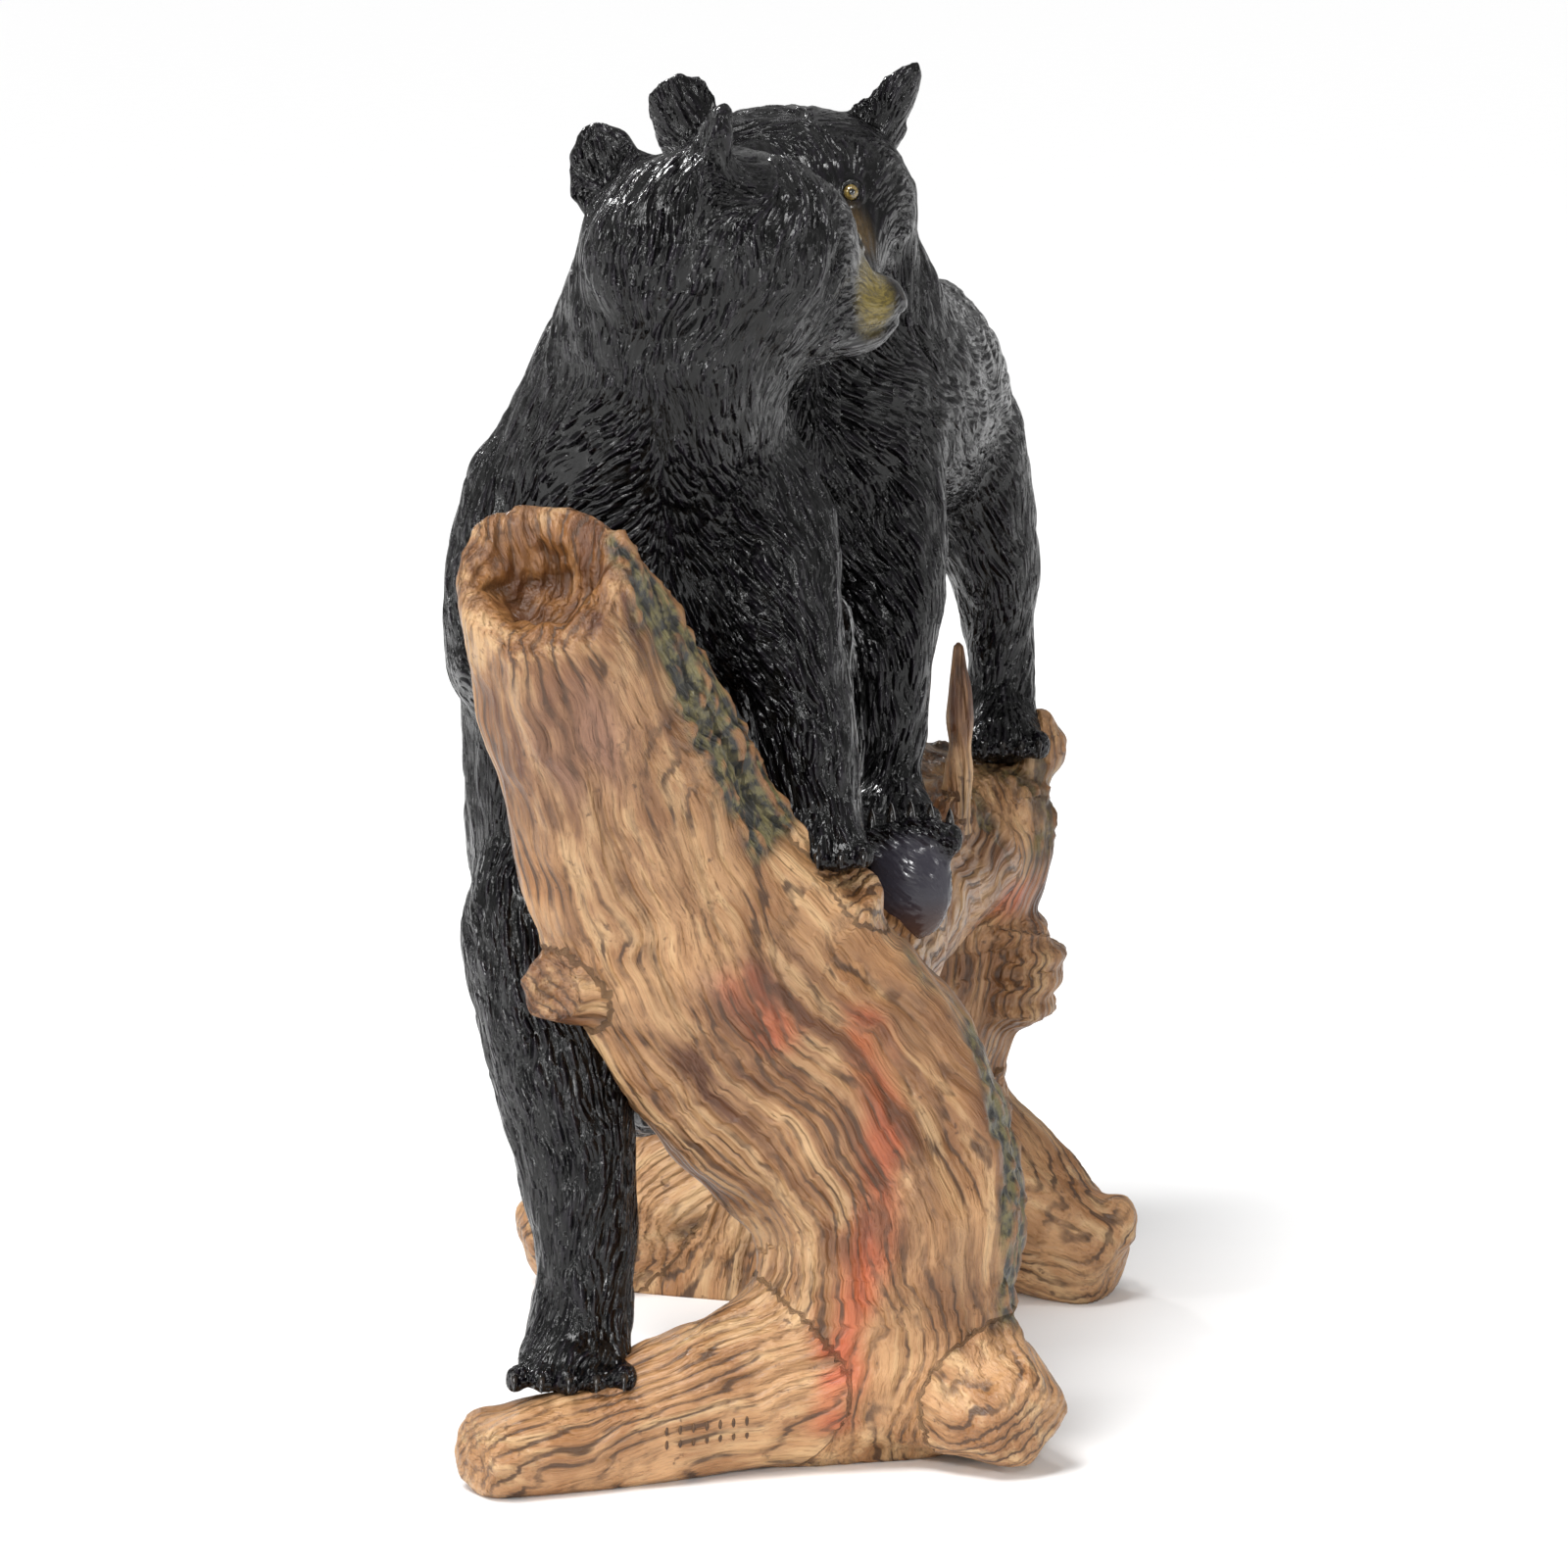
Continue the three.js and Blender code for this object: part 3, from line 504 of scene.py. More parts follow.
def finished_piece(name, skin, shift, attributes, materials, extra=(), node=None):
    """Makes the object from a skin: metres, in the statue's own place, with its attributes.

    The extra skins are pairs of a material's number and the skin. An attribute has one value for
    each vertex of the skin, or one for each corner of its quads, and is 0 on the extra skins.
    """
    points, faces = merged([(skin.verts, skin.quads.tolist())] + [other for _, other in extra])
    slots = [0] * len(skin.quads)
    for index, (_, polys) in extra:
        slots += [index] * len(polys)
    piece = new_object(name, ((points + shift) * MM).tolist(), faces)
    mesh = piece.data
    mesh.polygons.foreach_set("material_index", slots)
    mesh.polygons.foreach_set("use_smooth", [True] * len(faces))
    for key, values in attributes.items():
        kind = "FLOAT" if values.ndim == 1 else "FLOAT_VECTOR"
        corners = values.ndim == 3
        values = values.reshape(-1, 3) if corners else values
        layer = mesh.attributes.new(key, kind, "CORNER" if corners else "POINT")
        padded = np.zeros((len(mesh.loops) if corners else len(points),) + values.shape[1:])
        padded[:len(values)] = values
        layer.data.foreach_set("value" if values.ndim == 1 else "vector", padded.ravel())
    for material in materials:
        mesh.materials.append(material)
    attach(piece, "root")
    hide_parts(node)
    return piece


# Materials

def linear(hex_colour):
    """An sRGB hex colour as the linear values that the shader takes."""
    values = [int(hex_colour[i:i + 2], 16) / 255 for i in (1, 3, 5)]
    return [v / 12.92 if v <= 0.04045 else ((v + 0.055) / 1.055) ** 2.4 for v in values] + [1.0]


def add(tree, kind, links=None, settings=None, **values):
    """Adds one node: settings are its own fields, values its sockets, links what feeds them."""
    node = tree.nodes.new(kind)
    for key, value in (settings or {}).items():
        setattr(node, key, value)
    for key, value in values.items():
        node.inputs[key.replace("_", " ")].default_value = value
    for key, source in (links or {}).items():
        tree.links.new(source, node.inputs[key])
    return node


def new_material(name):
    """An empty material of the given name, with its node tree."""
    material = bpy.data.materials.new(name)
    material.use_nodes = True
    material.node_tree.nodes.clear()
    return material, material.node_tree


def finish_material(tree, colour, roughness, normal=None, **values):
    """Closes a tree: colour, roughness and normal feed one shader, and the values sit on it."""
    links = {"Base Color": colour, "Roughness": roughness}
    if normal is not None:
        links["Normal"] = normal
    shader = add(tree, "ShaderNodeBsdfPrincipled", links, **values)
    add(tree, "ShaderNodeOutputMaterial", {"Surface": shader.outputs[0]})


def read(tree, name, output="Fac"):
    """An attribute of the mesh: one number, or three with the output Vector."""
    return add(tree, "ShaderNodeAttribute", settings={"attribute_name": name}).outputs[output]


def object_place(tree):
    """The place on the object, in metres."""
    return add(tree, "ShaderNodeTexCoord").outputs["Object"]


def noise(tree, place, size, detail=2.0, rough=0.5):
    """A cloud pattern round 0.5, its spots about as large as the size, in the place's units."""
    return add(tree, "ShaderNodeTexNoise", {"Vector": place}, Scale=1 / size, Detail=detail,
               Roughness=rough).outputs[0]


def bump(tree, height, distance, strength, below=None):
    """A normal tilted by a height pattern; its strength is a number or a node's output."""
    links, values = {"Height": height}, {"Distance": distance}
    if below is not None:
        links["Normal"] = below
    (values if isinstance(strength, float) else links)["Strength"] = strength
    return add(tree, "ShaderNodeBump", links, **values).outputs[0]


def blend(tree, factor, first, second):
    """Mixes two colours, each a hex colour or a node's output, by a factor."""
    mix = add(tree, "ShaderNodeMix", settings={"data_type": "RGBA"})
    tree.links.new(factor, mix.inputs[0])
    for socket, value in ((mix.inputs[6], first), (mix.inputs[7], second)):
        if isinstance(value, str):
            socket.default_value = linear(value)
        else:
            tree.links.new(value, socket)
    return mix.outputs[2]


def ramp(tree, source, low, high, start=0.0, stop=1.0, kind="LINEAR"):
    """Runs from start where the source is low to stop where it is high, and no further."""
    node = add(tree, "ShaderNodeMapRange", {"Value": source}, {"interpolation_type": kind},
               From_Min=low, From_Max=high, To_Min=start, To_Max=stop)
    return node.outputs[0]


def glaze(tree, under, over, source, low, high, most=1.0):
    """Lays a paint over another: none where the source is low, its most share where it is high."""
    return blend(tree, ramp(tree, source, low, high, 0.0, most), under, over)


def fur_material(name, settings, muzzle):
    """Cast resin painted gloss black: hair tooled in strokes, ridges caught by a grey dry brush.

    Gloss enamel gives sharp small highlights on each stroke; the muzzle is a dull ochre wash.
    """
    material, tree = new_material(name)
    place = read(tree, "place", "Vector")
    # Each tooled hair stroke is one stretched cell, five times as long as it is wide.
    cells = add(tree, "ShaderNodeTexVoronoi", {"Vector": place}, Scale=1 / HAIR_WIDTH,
                Randomness=1.0).outputs["Distance"]
    hairs = noise(tree, place, FINE_HAIR_WIDTH, 2.0, 0.6)
    tooling = read(tree, "tooling")
    colour = glaze(tree, settings.fur_groove, settings.fur_ridge, read(tree, "relief"), -0.6, 0.9)
    colour = glaze(tree, colour, PAINT["fur gap"], cells, 0.25, 0.6)
    tan = glaze(tree, muzzle, PAINT["muzzle shade"], hairs, 0.42, 0.66, 0.75)
    colour = blend(tree, read(tree, "muzzle"), colour, tan)
    sole = blend(tree, read(tree, "heel"), settings.sole_colour, settings.heel_colour)
    colour = blend(tree, read(tree, "sole"), colour, sole)
    gloss = settings.fur_roughness
    rough = ramp(tree, hairs, 0.3, 0.7, gloss - 0.08, gloss + 0.1)
    fine = bump(tree, hairs, 0.0004, tooling)
    # A rounded crest holds one thin glint along each stroke.
    crest = ramp(tree, cells, 0.0, 0.75, 1.0, 0.0, "SMOOTHSTEP")
    finish_material(tree, colour, rough, bump(tree, crest, 0.0024, tooling, fine), IOR=1.4)
    return material


def claw_material():
    """Cast resin claws and nose in gloss black enamel: smooth, with one long highlight."""
    material, tree = new_material("gloss_black_enamel")
    spots = noise(tree, object_place(tree), 0.0025)
    colour = glaze(tree, PAINT["enamel"], PAINT["worn enamel"], spots, 0.4, 0.7)
    rough = ramp(tree, spots, 0.3, 0.7, 0.16, 0.28)
    finish_material(tree, colour, rough, bump(tree, spots, 0.0003, 0.2), IOR=1.5)
    return material


def wood_material(settings):
    """Cast resin painted as driftwood: tan ground, brown wash in the grain, pale dry-brushed
    ridges, rust and mauve glazes, near-black bark with olive moss, in a satin finish."""
    material, tree = new_material("painted_driftwood_resin")
    place, where = read(tree, "place", "Vector"), object_place(tree)
    # Carved grooves are about 5 mm apart and follow the wood; patches of wash are about 30 mm.
    fibres = add(tree, "ShaderNodeTexWave", {"Vector": place}, {"bands_direction": "DIAGONAL"},
                 Scale=0.1, Distortion=7.0, Detail=3.0, Detail_Scale=0.9,
                 Detail_Roughness=0.65).outputs["Fac"]
    grain = noise(tree, place, 1.4, 3.0, 0.6)
    bands = noise(tree, place, 8.0, 3.0, 0.55)
    patches = noise(tree, where, 0.03, 4.0, 0.6)
    blotch = noise(tree, where, 0.006, 3.0, 0.65)
    relief = read(tree, "relief")
    colour = glaze(tree, settings.wood_tan, settings.wood_brown, patches, 0.42, 0.62)
    colour = glaze(tree, colour, settings.wood_pale, bands, 0.52, 0.66, 0.45)
    colour = glaze(tree, colour, PAINT["band wash"], bands, 0.44, 0.34, 0.65)
    colour = glaze(tree, colour, PAINT["grain wash"], grain, 0.44, 0.32, 0.55)
    colour = glaze(tree, colour, PAINT["blotch wash"], blotch, 0.62, 0.72, 0.35)
    # Mauve and rust are glazes; the hollow paint is painted shade that darkens the inside of the
    # branch's hollow end.
    for zone, paint in (("mauve", settings.mauve_glaze), ("rust", settings.rust_glaze),
                        ("hollow", PAINT["hollow"])):
        colour = blend(tree, read(tree, zone), colour, paint)
    colour = glaze(tree, colour, PAINT["deep wash"], relief, -0.5, -2.0, 0.8)
    wash = blend(tree, ramp(tree, bands, 0.38, 0.58, 1.0, 0.35), colour, PAINT["foot wash"])
    colour = blend(tree, read(tree, "wash"), colour, wash)
    line = glaze(tree, colour, PAINT["groove line"], patches, 0.42, 0.56)
    colour = glaze(tree, colour, line, fibres, 0.25, 0.04, 0.9)
    colour = glaze(tree, colour, PAINT["dark spot"], blotch, 0.66, 0.72, 0.6)
    moss = glaze(tree, settings.bark_black, settings.moss_olive, blotch, 0.45, 0.6)
    moss = glaze(tree, moss, settings.wood_brown, relief, 0.5, 1.8, 0.7)
    colour = blend(tree, read(tree, "bark"), colour, moss)
    normal = bump(tree, grain, 0.0014, 0.8)
    normal = bump(tree, fibres, 0.0014, 0.8, normal)
    normal = bump(tree, blotch, 0.0012, 0.4, normal)
    finish_material(tree, colour, ramp(tree, grain, 0.3, 0.7, 0.3, 0.5), normal, IOR=1.5)
    return material


def umber_material():
    """Cast resin marks filled with a dark umber wash: dull, with a worn, uneven tone."""
    material, tree = new_material("umber_wash")
    wear = noise(tree, object_place(tree), 1 / 700)
    colour = glaze(tree, PAINT["mark"], PAINT["worn mark"], wear, 0.35, 0.65)
    finish_material(tree, colour, ramp(tree, wear, 0.3, 0.7, 0.5, 0.7), IOR=1.5)
    return material


def eye_material(settings):
    """A glass bead, amber behind a clear dome, with a dark pupil and rim: wet, mirror-like gloss."""
    material, tree = new_material("amber_glass_bead")
    gaze = read(tree, "gaze")
    streaks = noise(tree, object_place(tree), 1 / 1500)
    colour = glaze(tree, settings.iris_amber, PAINT["iris streak"], streaks, 0.35, 0.65)
    colour = glaze(tree, colour, PAINT["pupil"], gaze, 0.9, 0.93)
    colour = glaze(tree, colour, PAINT["eye rim"], gaze, 0.45, 0.35)
    rough = ramp(tree, streaks, 0.0, 1.0, 0.03, 0.08)
    finish_material(tree, colour, rough, IOR=1.5, Coat_Weight=1.0, Coat_Roughness=0.02)
    return material


# The bears' parts

def head_part(figure):
    """The head's rows set out from the skull along the heading f, with s at its side."""
    f = unit(np.array([*figure["heading"], 0.0]))
    s = np.array([-f[1], f[0], 0.0])
    x, y = figure["skull"]
    rows = [[x + f[0] * t, y + f[1] * t, z, a, b] for t, z, a, b in figure["head"]]
    return {"rows": rows, "side": s, "flow": -1, "sides": 64}, f, s


def eye_places(figure, inset):
    """Where the two eyes sit on the head's skin, as the model places them."""
    part, _, _ = head_part(figure)
    row, angle = figure["eyes"]
    c, _, wide, deep, a, b = ring_frames(part["rows"], part["side"], np.array([float(row)]))
    turns = (np.pi - angle, angle)
    return [c[0] + wide[0] * (a[0] - inset) * math.cos(v) + deep[0] * (b[0] - inset) * math.sin(v)
            for v in turns]


def ear_part(figure, root, tip, turn, profile, f):
    """A dished leaf from root to tip: its width follows the profile and its edges curl forward."""
    opening = np.array([f[0] * math.cos(turn) - f[1] * math.sin(turn),
                        f[0] * math.sin(turn) + f[1] * math.cos(turn), 0.0])
    root, rise = np.array(root, float), np.array(tip, float) - np.array(root, float)
    side = unit(np.cross(opening, rise))
    heights = [0, 0.35, 0.65, 0.88, 1]
    depth = figure["ear_depth"]
    rows = [[*(root + rise * h - opening * depth * 0.12), figure["ear_width"] * w, depth * 0.27]
            for h, w in zip(heights, profile)]
    return {"rows": rows, "side": side, "curl": -depth * 0.75, "sides": 48, "flow": 1}


def toe_parts(centre, heading, normal, half_width, reach, droop):
    """Five toes in an arc, and a curved claw for each: returns the toes and the claws."""
    heading, normal = np.array(heading, float), np.array(normal, float)
    across = unit(np.cross(heading, normal))
    toes, claws = [], []
    for n in range(-2, 3):
        lean = n / 2
        root = (np.array(centre, float) + across * lean * (half_width - 3.2)
                + heading * reach * (1 - 0.16 * lean * lean))
        toes.append(ball(root, (4.5, 7.0, 5.3), (across, heading, normal)))
        base = root + heading * 4.6 + normal * 1.2
        path = [base, base + heading * 4.2 + normal * 0.6,
                base + heading * 7.4 - normal * (0.6 + droop * 0.5)]
        rows = [[*p, r, r * 1.1] for p, r in zip(path, (1.7, 1.25, 0.35))]
        claws.append(sweep({"rows": rows, "side": across, "sides": 10, "per_row": 4}))
    return toes, claws


def bear_skin(name, figure, parts, extras, claws, settings, muzzle_colour):
    """Joins a bear's parts, combs its fur, cuts its face and makes the piece.

    Each vertex moves along its normal by a sum: the locks and strokes where fur is, the eyelids,
    less the nostrils and the mouth. Every zone is a falloff of a distance from its place.
    """
    seed = figure["seed"]
    head, f, s = head_part(figure)
    ears = [ear_part(figure, *ear, f) for ear in figure["ears"]]
    limbs = parts + [head] + ears
    if "nape" in figure:
        extras = extras + [ball(*figure["nape"], sides=40, rings=24)]
    skin = Skin(*joined_skin(name, [sweep(p) for p in limbs] + extras, settings.bear_voxel / MM))
    skin.verts = skin.smooth(skin.verts, 3)
    # Limbs melt into the body where they meet: creases are filled, and ears, toes and eyes kept.
    eyes = eye_places(figure, settings.eye_diameter / MM * EYE_SINK)
    small = [ear[0] for ear in figure["ears"]] + [ear[1] for ear in figure["ears"]] + eyes
    small += [np.mean(points, axis=0) for points, _ in claws]
    gap = np.min([norm(skin.verts - spot) for spot in small], axis=0)
    soft = (1 - falloff(gap, 10, 24))[:, None]
    skin.verts = skin.verts + soft * (skin.smooth(skin.verts, 25) - skin.verts)
    normal = skin.normals()
    rise = skin.smooth(skin.creases(normal, 120), 8)
    skin.verts = skin.verts + soft * normal * rise[:, None]
    skin.verts = skin.verts + soft * (skin.smooth(skin.verts, 10) - skin.verts)
    normal = skin.normals()

    c = np.array([*figure["skull"], 0.0])
    ahead = (skin.verts - c) @ f
    sideways = (skin.verts - c) @ s
    level = np.interp(ahead, [r[0] for r in figure["head"]], [r[1] for r in figure["head"]])
    height = skin.verts[:, 2] - level
    flow = on_surface(nearest_part(skin.verts, limbs)[0], normal)
    # On the head the fur falls from the crown over the cheeks; on the muzzle it runs back.
    ear_gap = np.min([line_distance(skin.verts, ear[:2]) for ear in figure["ears"]], axis=0)
    crown = falloff(norm((skin.verts - c)[:, :2]), 55, 80) \
        * falloff(375 - skin.verts[:, 2], 0, 30) * falloff(ahead, 12, 36) \
        * (1 - falloff(ear_gap, 13, 19))
    fall = on_surface(np.zeros_like(flow) - 0.9 * UP - 0.3 * f, normal)
    flow = flow + crown[:, None] * (fall - flow)
    flow = on_surface(skin.smooth(flow, 12), normal)
    wave = 0.4 * lattice_noise(skin.verts, 40, seed) + 0.3 * lattice_noise(skin.verts, 14, seed + 1)
    # The fur parts down the middle of the chest and sweeps out to both arms.
    x, z = skin.verts[:, 0] - figure["parting"], skin.verts[:, 2]
    chest = falloff(np.abs(z - 315), 45, 80) * falloff(np.abs(x), 30, 60) * (normal[:, 1] < -0.2)
    wave = wave + 0.7 * chest * np.tanh(x / 5)
    flow = turned(flow, normal, wave)

    near_head = (norm((skin.verts - c)[:, :2]) < 75) & (z > 370)
    tip = figure["head"][-1][0]
    nose = np.stack([(ahead - tip - 7) / 8, sideways / 13, (height - 5) / 8], -1)
    nose = falloff(norm(nose), 0.85, 1.1) * near_head
    eye_gap = np.min([norm(skin.verts - e) for e in eyes], axis=0)
    # The wash lies on both sides of the muzzle, from below the eye to behind the nose.
    back, long, above, tall, side, broad = figure["wash"]
    wash = np.stack([(ahead - tip + back) / long, (height - above) / tall,
                     (np.abs(sideways) - side) / broad], -1)
    muzzle = 0.85 * falloff(norm(wash), 0.4, 1.1) * near_head * (1 - nose)
    snout = falloff(tip - 22 - ahead, -2, 10) * near_head
    smooth_zone = np.clip(nose + falloff(eye_gap, 5, 8), 0, 1)
    pad = heel = np.zeros(len(skin.verts))
    if "sole" in figure:
        centre, half = figure["sole"]
        off = skin.verts - np.array(centre)
        pad = falloff(norm(off[:, [0, 2]] / half), 0.85, 1.1) \
            * (normal[:, 1] < -0.2) * (np.abs(off[:, 1]) < 16)
        heel = falloff(off[:, 2] + 10, -6, 10)
    pad = skin.smooth(pad, 3)

    # Wide locks first, then single strokes, each a ridge that the flow draws out.
    locks = np.tanh(0.9 * skin.combed(flow, 26, seed + 2, soften=8, sharpness=6))
    strokes = np.tanh(1.1 * skin.combed(flow, 9, seed + 3, soften=1, sharpness=10))
    depth = (1 - smooth_zone) * (1 - 0.7 * snout) * (1 - 0.9 * pad)
    lift = settings.lock_depth / MM * locks * (1 - snout) + settings.stroke_depth / MM * strokes
    lift = lift * depth
    # Eyelids stand up round each bead, the nostrils and the mouth are cut in.
    lift += 1.3 * falloff(np.abs(eye_gap - 4.4), 0.5, 2.0) - 0.5 * falloff(eye_gap, 2.5, 4.0)
    for hand in (-1, 1):
        nostril = np.stack([ahead - tip - 8, sideways - hand * 4.6, height - 3], -1)
        lift -= 1.6 * falloff(norm(nostril), 1.2, 3.2) * near_head
    mouth = np.abs(height + 5.5 + 0.1 * (tip - ahead)) + 40 * (ahead < tip - 30) \
        + 40 * (np.abs(normal @ f) > 0.95)
    lift -= 1.4 * falloff(mouth, 0.8, 2.6) * near_head * (np.abs(sideways) > 1)
    skin.verts = skin.verts + normal * lift[:, None]

    materials = [fur_material(name + "_fur", settings, muzzle_colour), claw_material()]
    attributes = {"relief": skin.relief(6) * 0.5,
                  "place": stroke_places(skin, flow, 0.2, seed),
                  "muzzle": muzzle, "sole": pad, "heel": heel,
                  "tooling": (1 - smooth_zone) * (1 - 0.75 * snout) * (1 - 0.85 * pad)}
    piece = finished_piece(name + "_painted", skin, model_shift(settings), attributes, materials,
                           [(1, claw) for claw in claws], name)
    # The nose takes the smooth enamel of the claws.
    nose_faces = np.nonzero(nose[skin.quads].mean(axis=1) > 0.5)[0]
    index = np.zeros(len(piece.data.polygons), dtype=np.int32)
    piece.data.polygons.foreach_get("material_index", index)
    index[nose_faces] = 1
    piece.data.polygons.foreach_set("material_index", index)
    return piece


def model_shift(settings):
    """From the pose's own numbers to the model's place: read from where one eye bead stands."""
    low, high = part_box("standing_bear_eye_left")
    middle = (np.array(low) + np.array(high)) / 2 / MM
    return middle - eye_places(STANDING, settings.eye_diameter / MM * EYE_SINK)[1]


def metres(name, default, description):
    """A setting that is a length in metres."""
    return bpy.props.FloatProperty(name=name, default=default, unit="LENGTH",
                                   description=description)


def hex_paint(name, default, description):
    """A setting that is an sRGB hex colour."""
    return bpy.props.StringProperty(name=name, default=default, description=description)


class StatueSettings(bpy.types.PropertyGroup):
    """The sizes and colours of the finish."""
    bear_voxel: metres("Bear skin step", 0.00162, "Spacing of the bears' mesh")
    log_voxel: metres("Log skin step", 0.0021, "Spacing of the log's mesh")
    stroke_depth: metres("Hair stroke depth", 0.00055, "How far a hair stroke stands out")
    lock_depth: metres("Lock depth", 0.0006, "How far a wide lock stands out")
    grain_depth: metres("Grain depth", 0.0009, "How deep the driftwood's grain is cut")
    eye_diameter: metres("Eye", 0.006, "Diameter of a glass bead eye")
    fur_roughness: bpy.props.FloatProperty(name="Fur gloss", default=0.2, subtype="FACTOR",
                                           description="Roughness of the black enamel")
    fur_groove: hex_paint("Fur groove", "#050406", "Black enamel in the grooves")
    fur_ridge: hex_paint("Fur ridge", "#17131A", "Grey dry brush on the ridges")
    sitting_muzzle: hex_paint("Sitting muzzle", "#7F6F34", "Ochre wash on the front bear's muzzle")
    standing_muzzle: hex_paint("Standing muzzle", "#54432B", "Brown wash on the rear bear's muzzle")
    sole_colour: hex_paint("Sole", "#34323A", "Grey-black of the bare sole")
    heel_colour: hex_paint("Heel", "#4A332A", "Brown wash at the heel")
    wood_tan: hex_paint("Wood tan", "#B88D62", "Ground colour of the driftwood")
    wood_brown: hex_paint("Wood brown", "#976A42", "Brown wash")
    wood_pale: hex_paint("Wood pale", "#D8B88A", "Pale dry brush")
    mauve_glaze: hex_paint("Mauve glaze", "#85604F", "Mauve-brown under the branch")
    rust_glaze: hex_paint("Rust glaze", "#B24E2A", "Rust red streaks")
    bark_black: hex_paint("Bark", "#2B2A26", "Near-black bark")
    moss_olive: hex_paint("Moss", "#6B6340", "Olive moss on the bark")
    iris_amber: hex_paint("Iris", "#8F7A42", "Amber of the glass eyes")


def mark_strokes(skin):
    """Fourteen plain strokes in pairs on the front left root.

    Each is a small upright ellipsoid, set where a ray from the front meets the wood.
    """
    tree = BVHTree.FromPolygons(skin.verts.tolist(), skin.quads.tolist())
    start, stop = np.array(MARKS, float)
    marks = []
    for n in range(MARK_PAIRS):
        x, z = start + (stop - start) * (n + 0.5) / MARK_PAIRS
        for row in (-2.5, 2.5):
            hit = tree.ray_cast(Vector((x, -260, z + row)), Vector((0, 1, 0)))[0]
            if hit:
                marks.append(ball(tuple(hit), (0.65, 0.5, 1.8), sides=12, rings=8))
    return marks


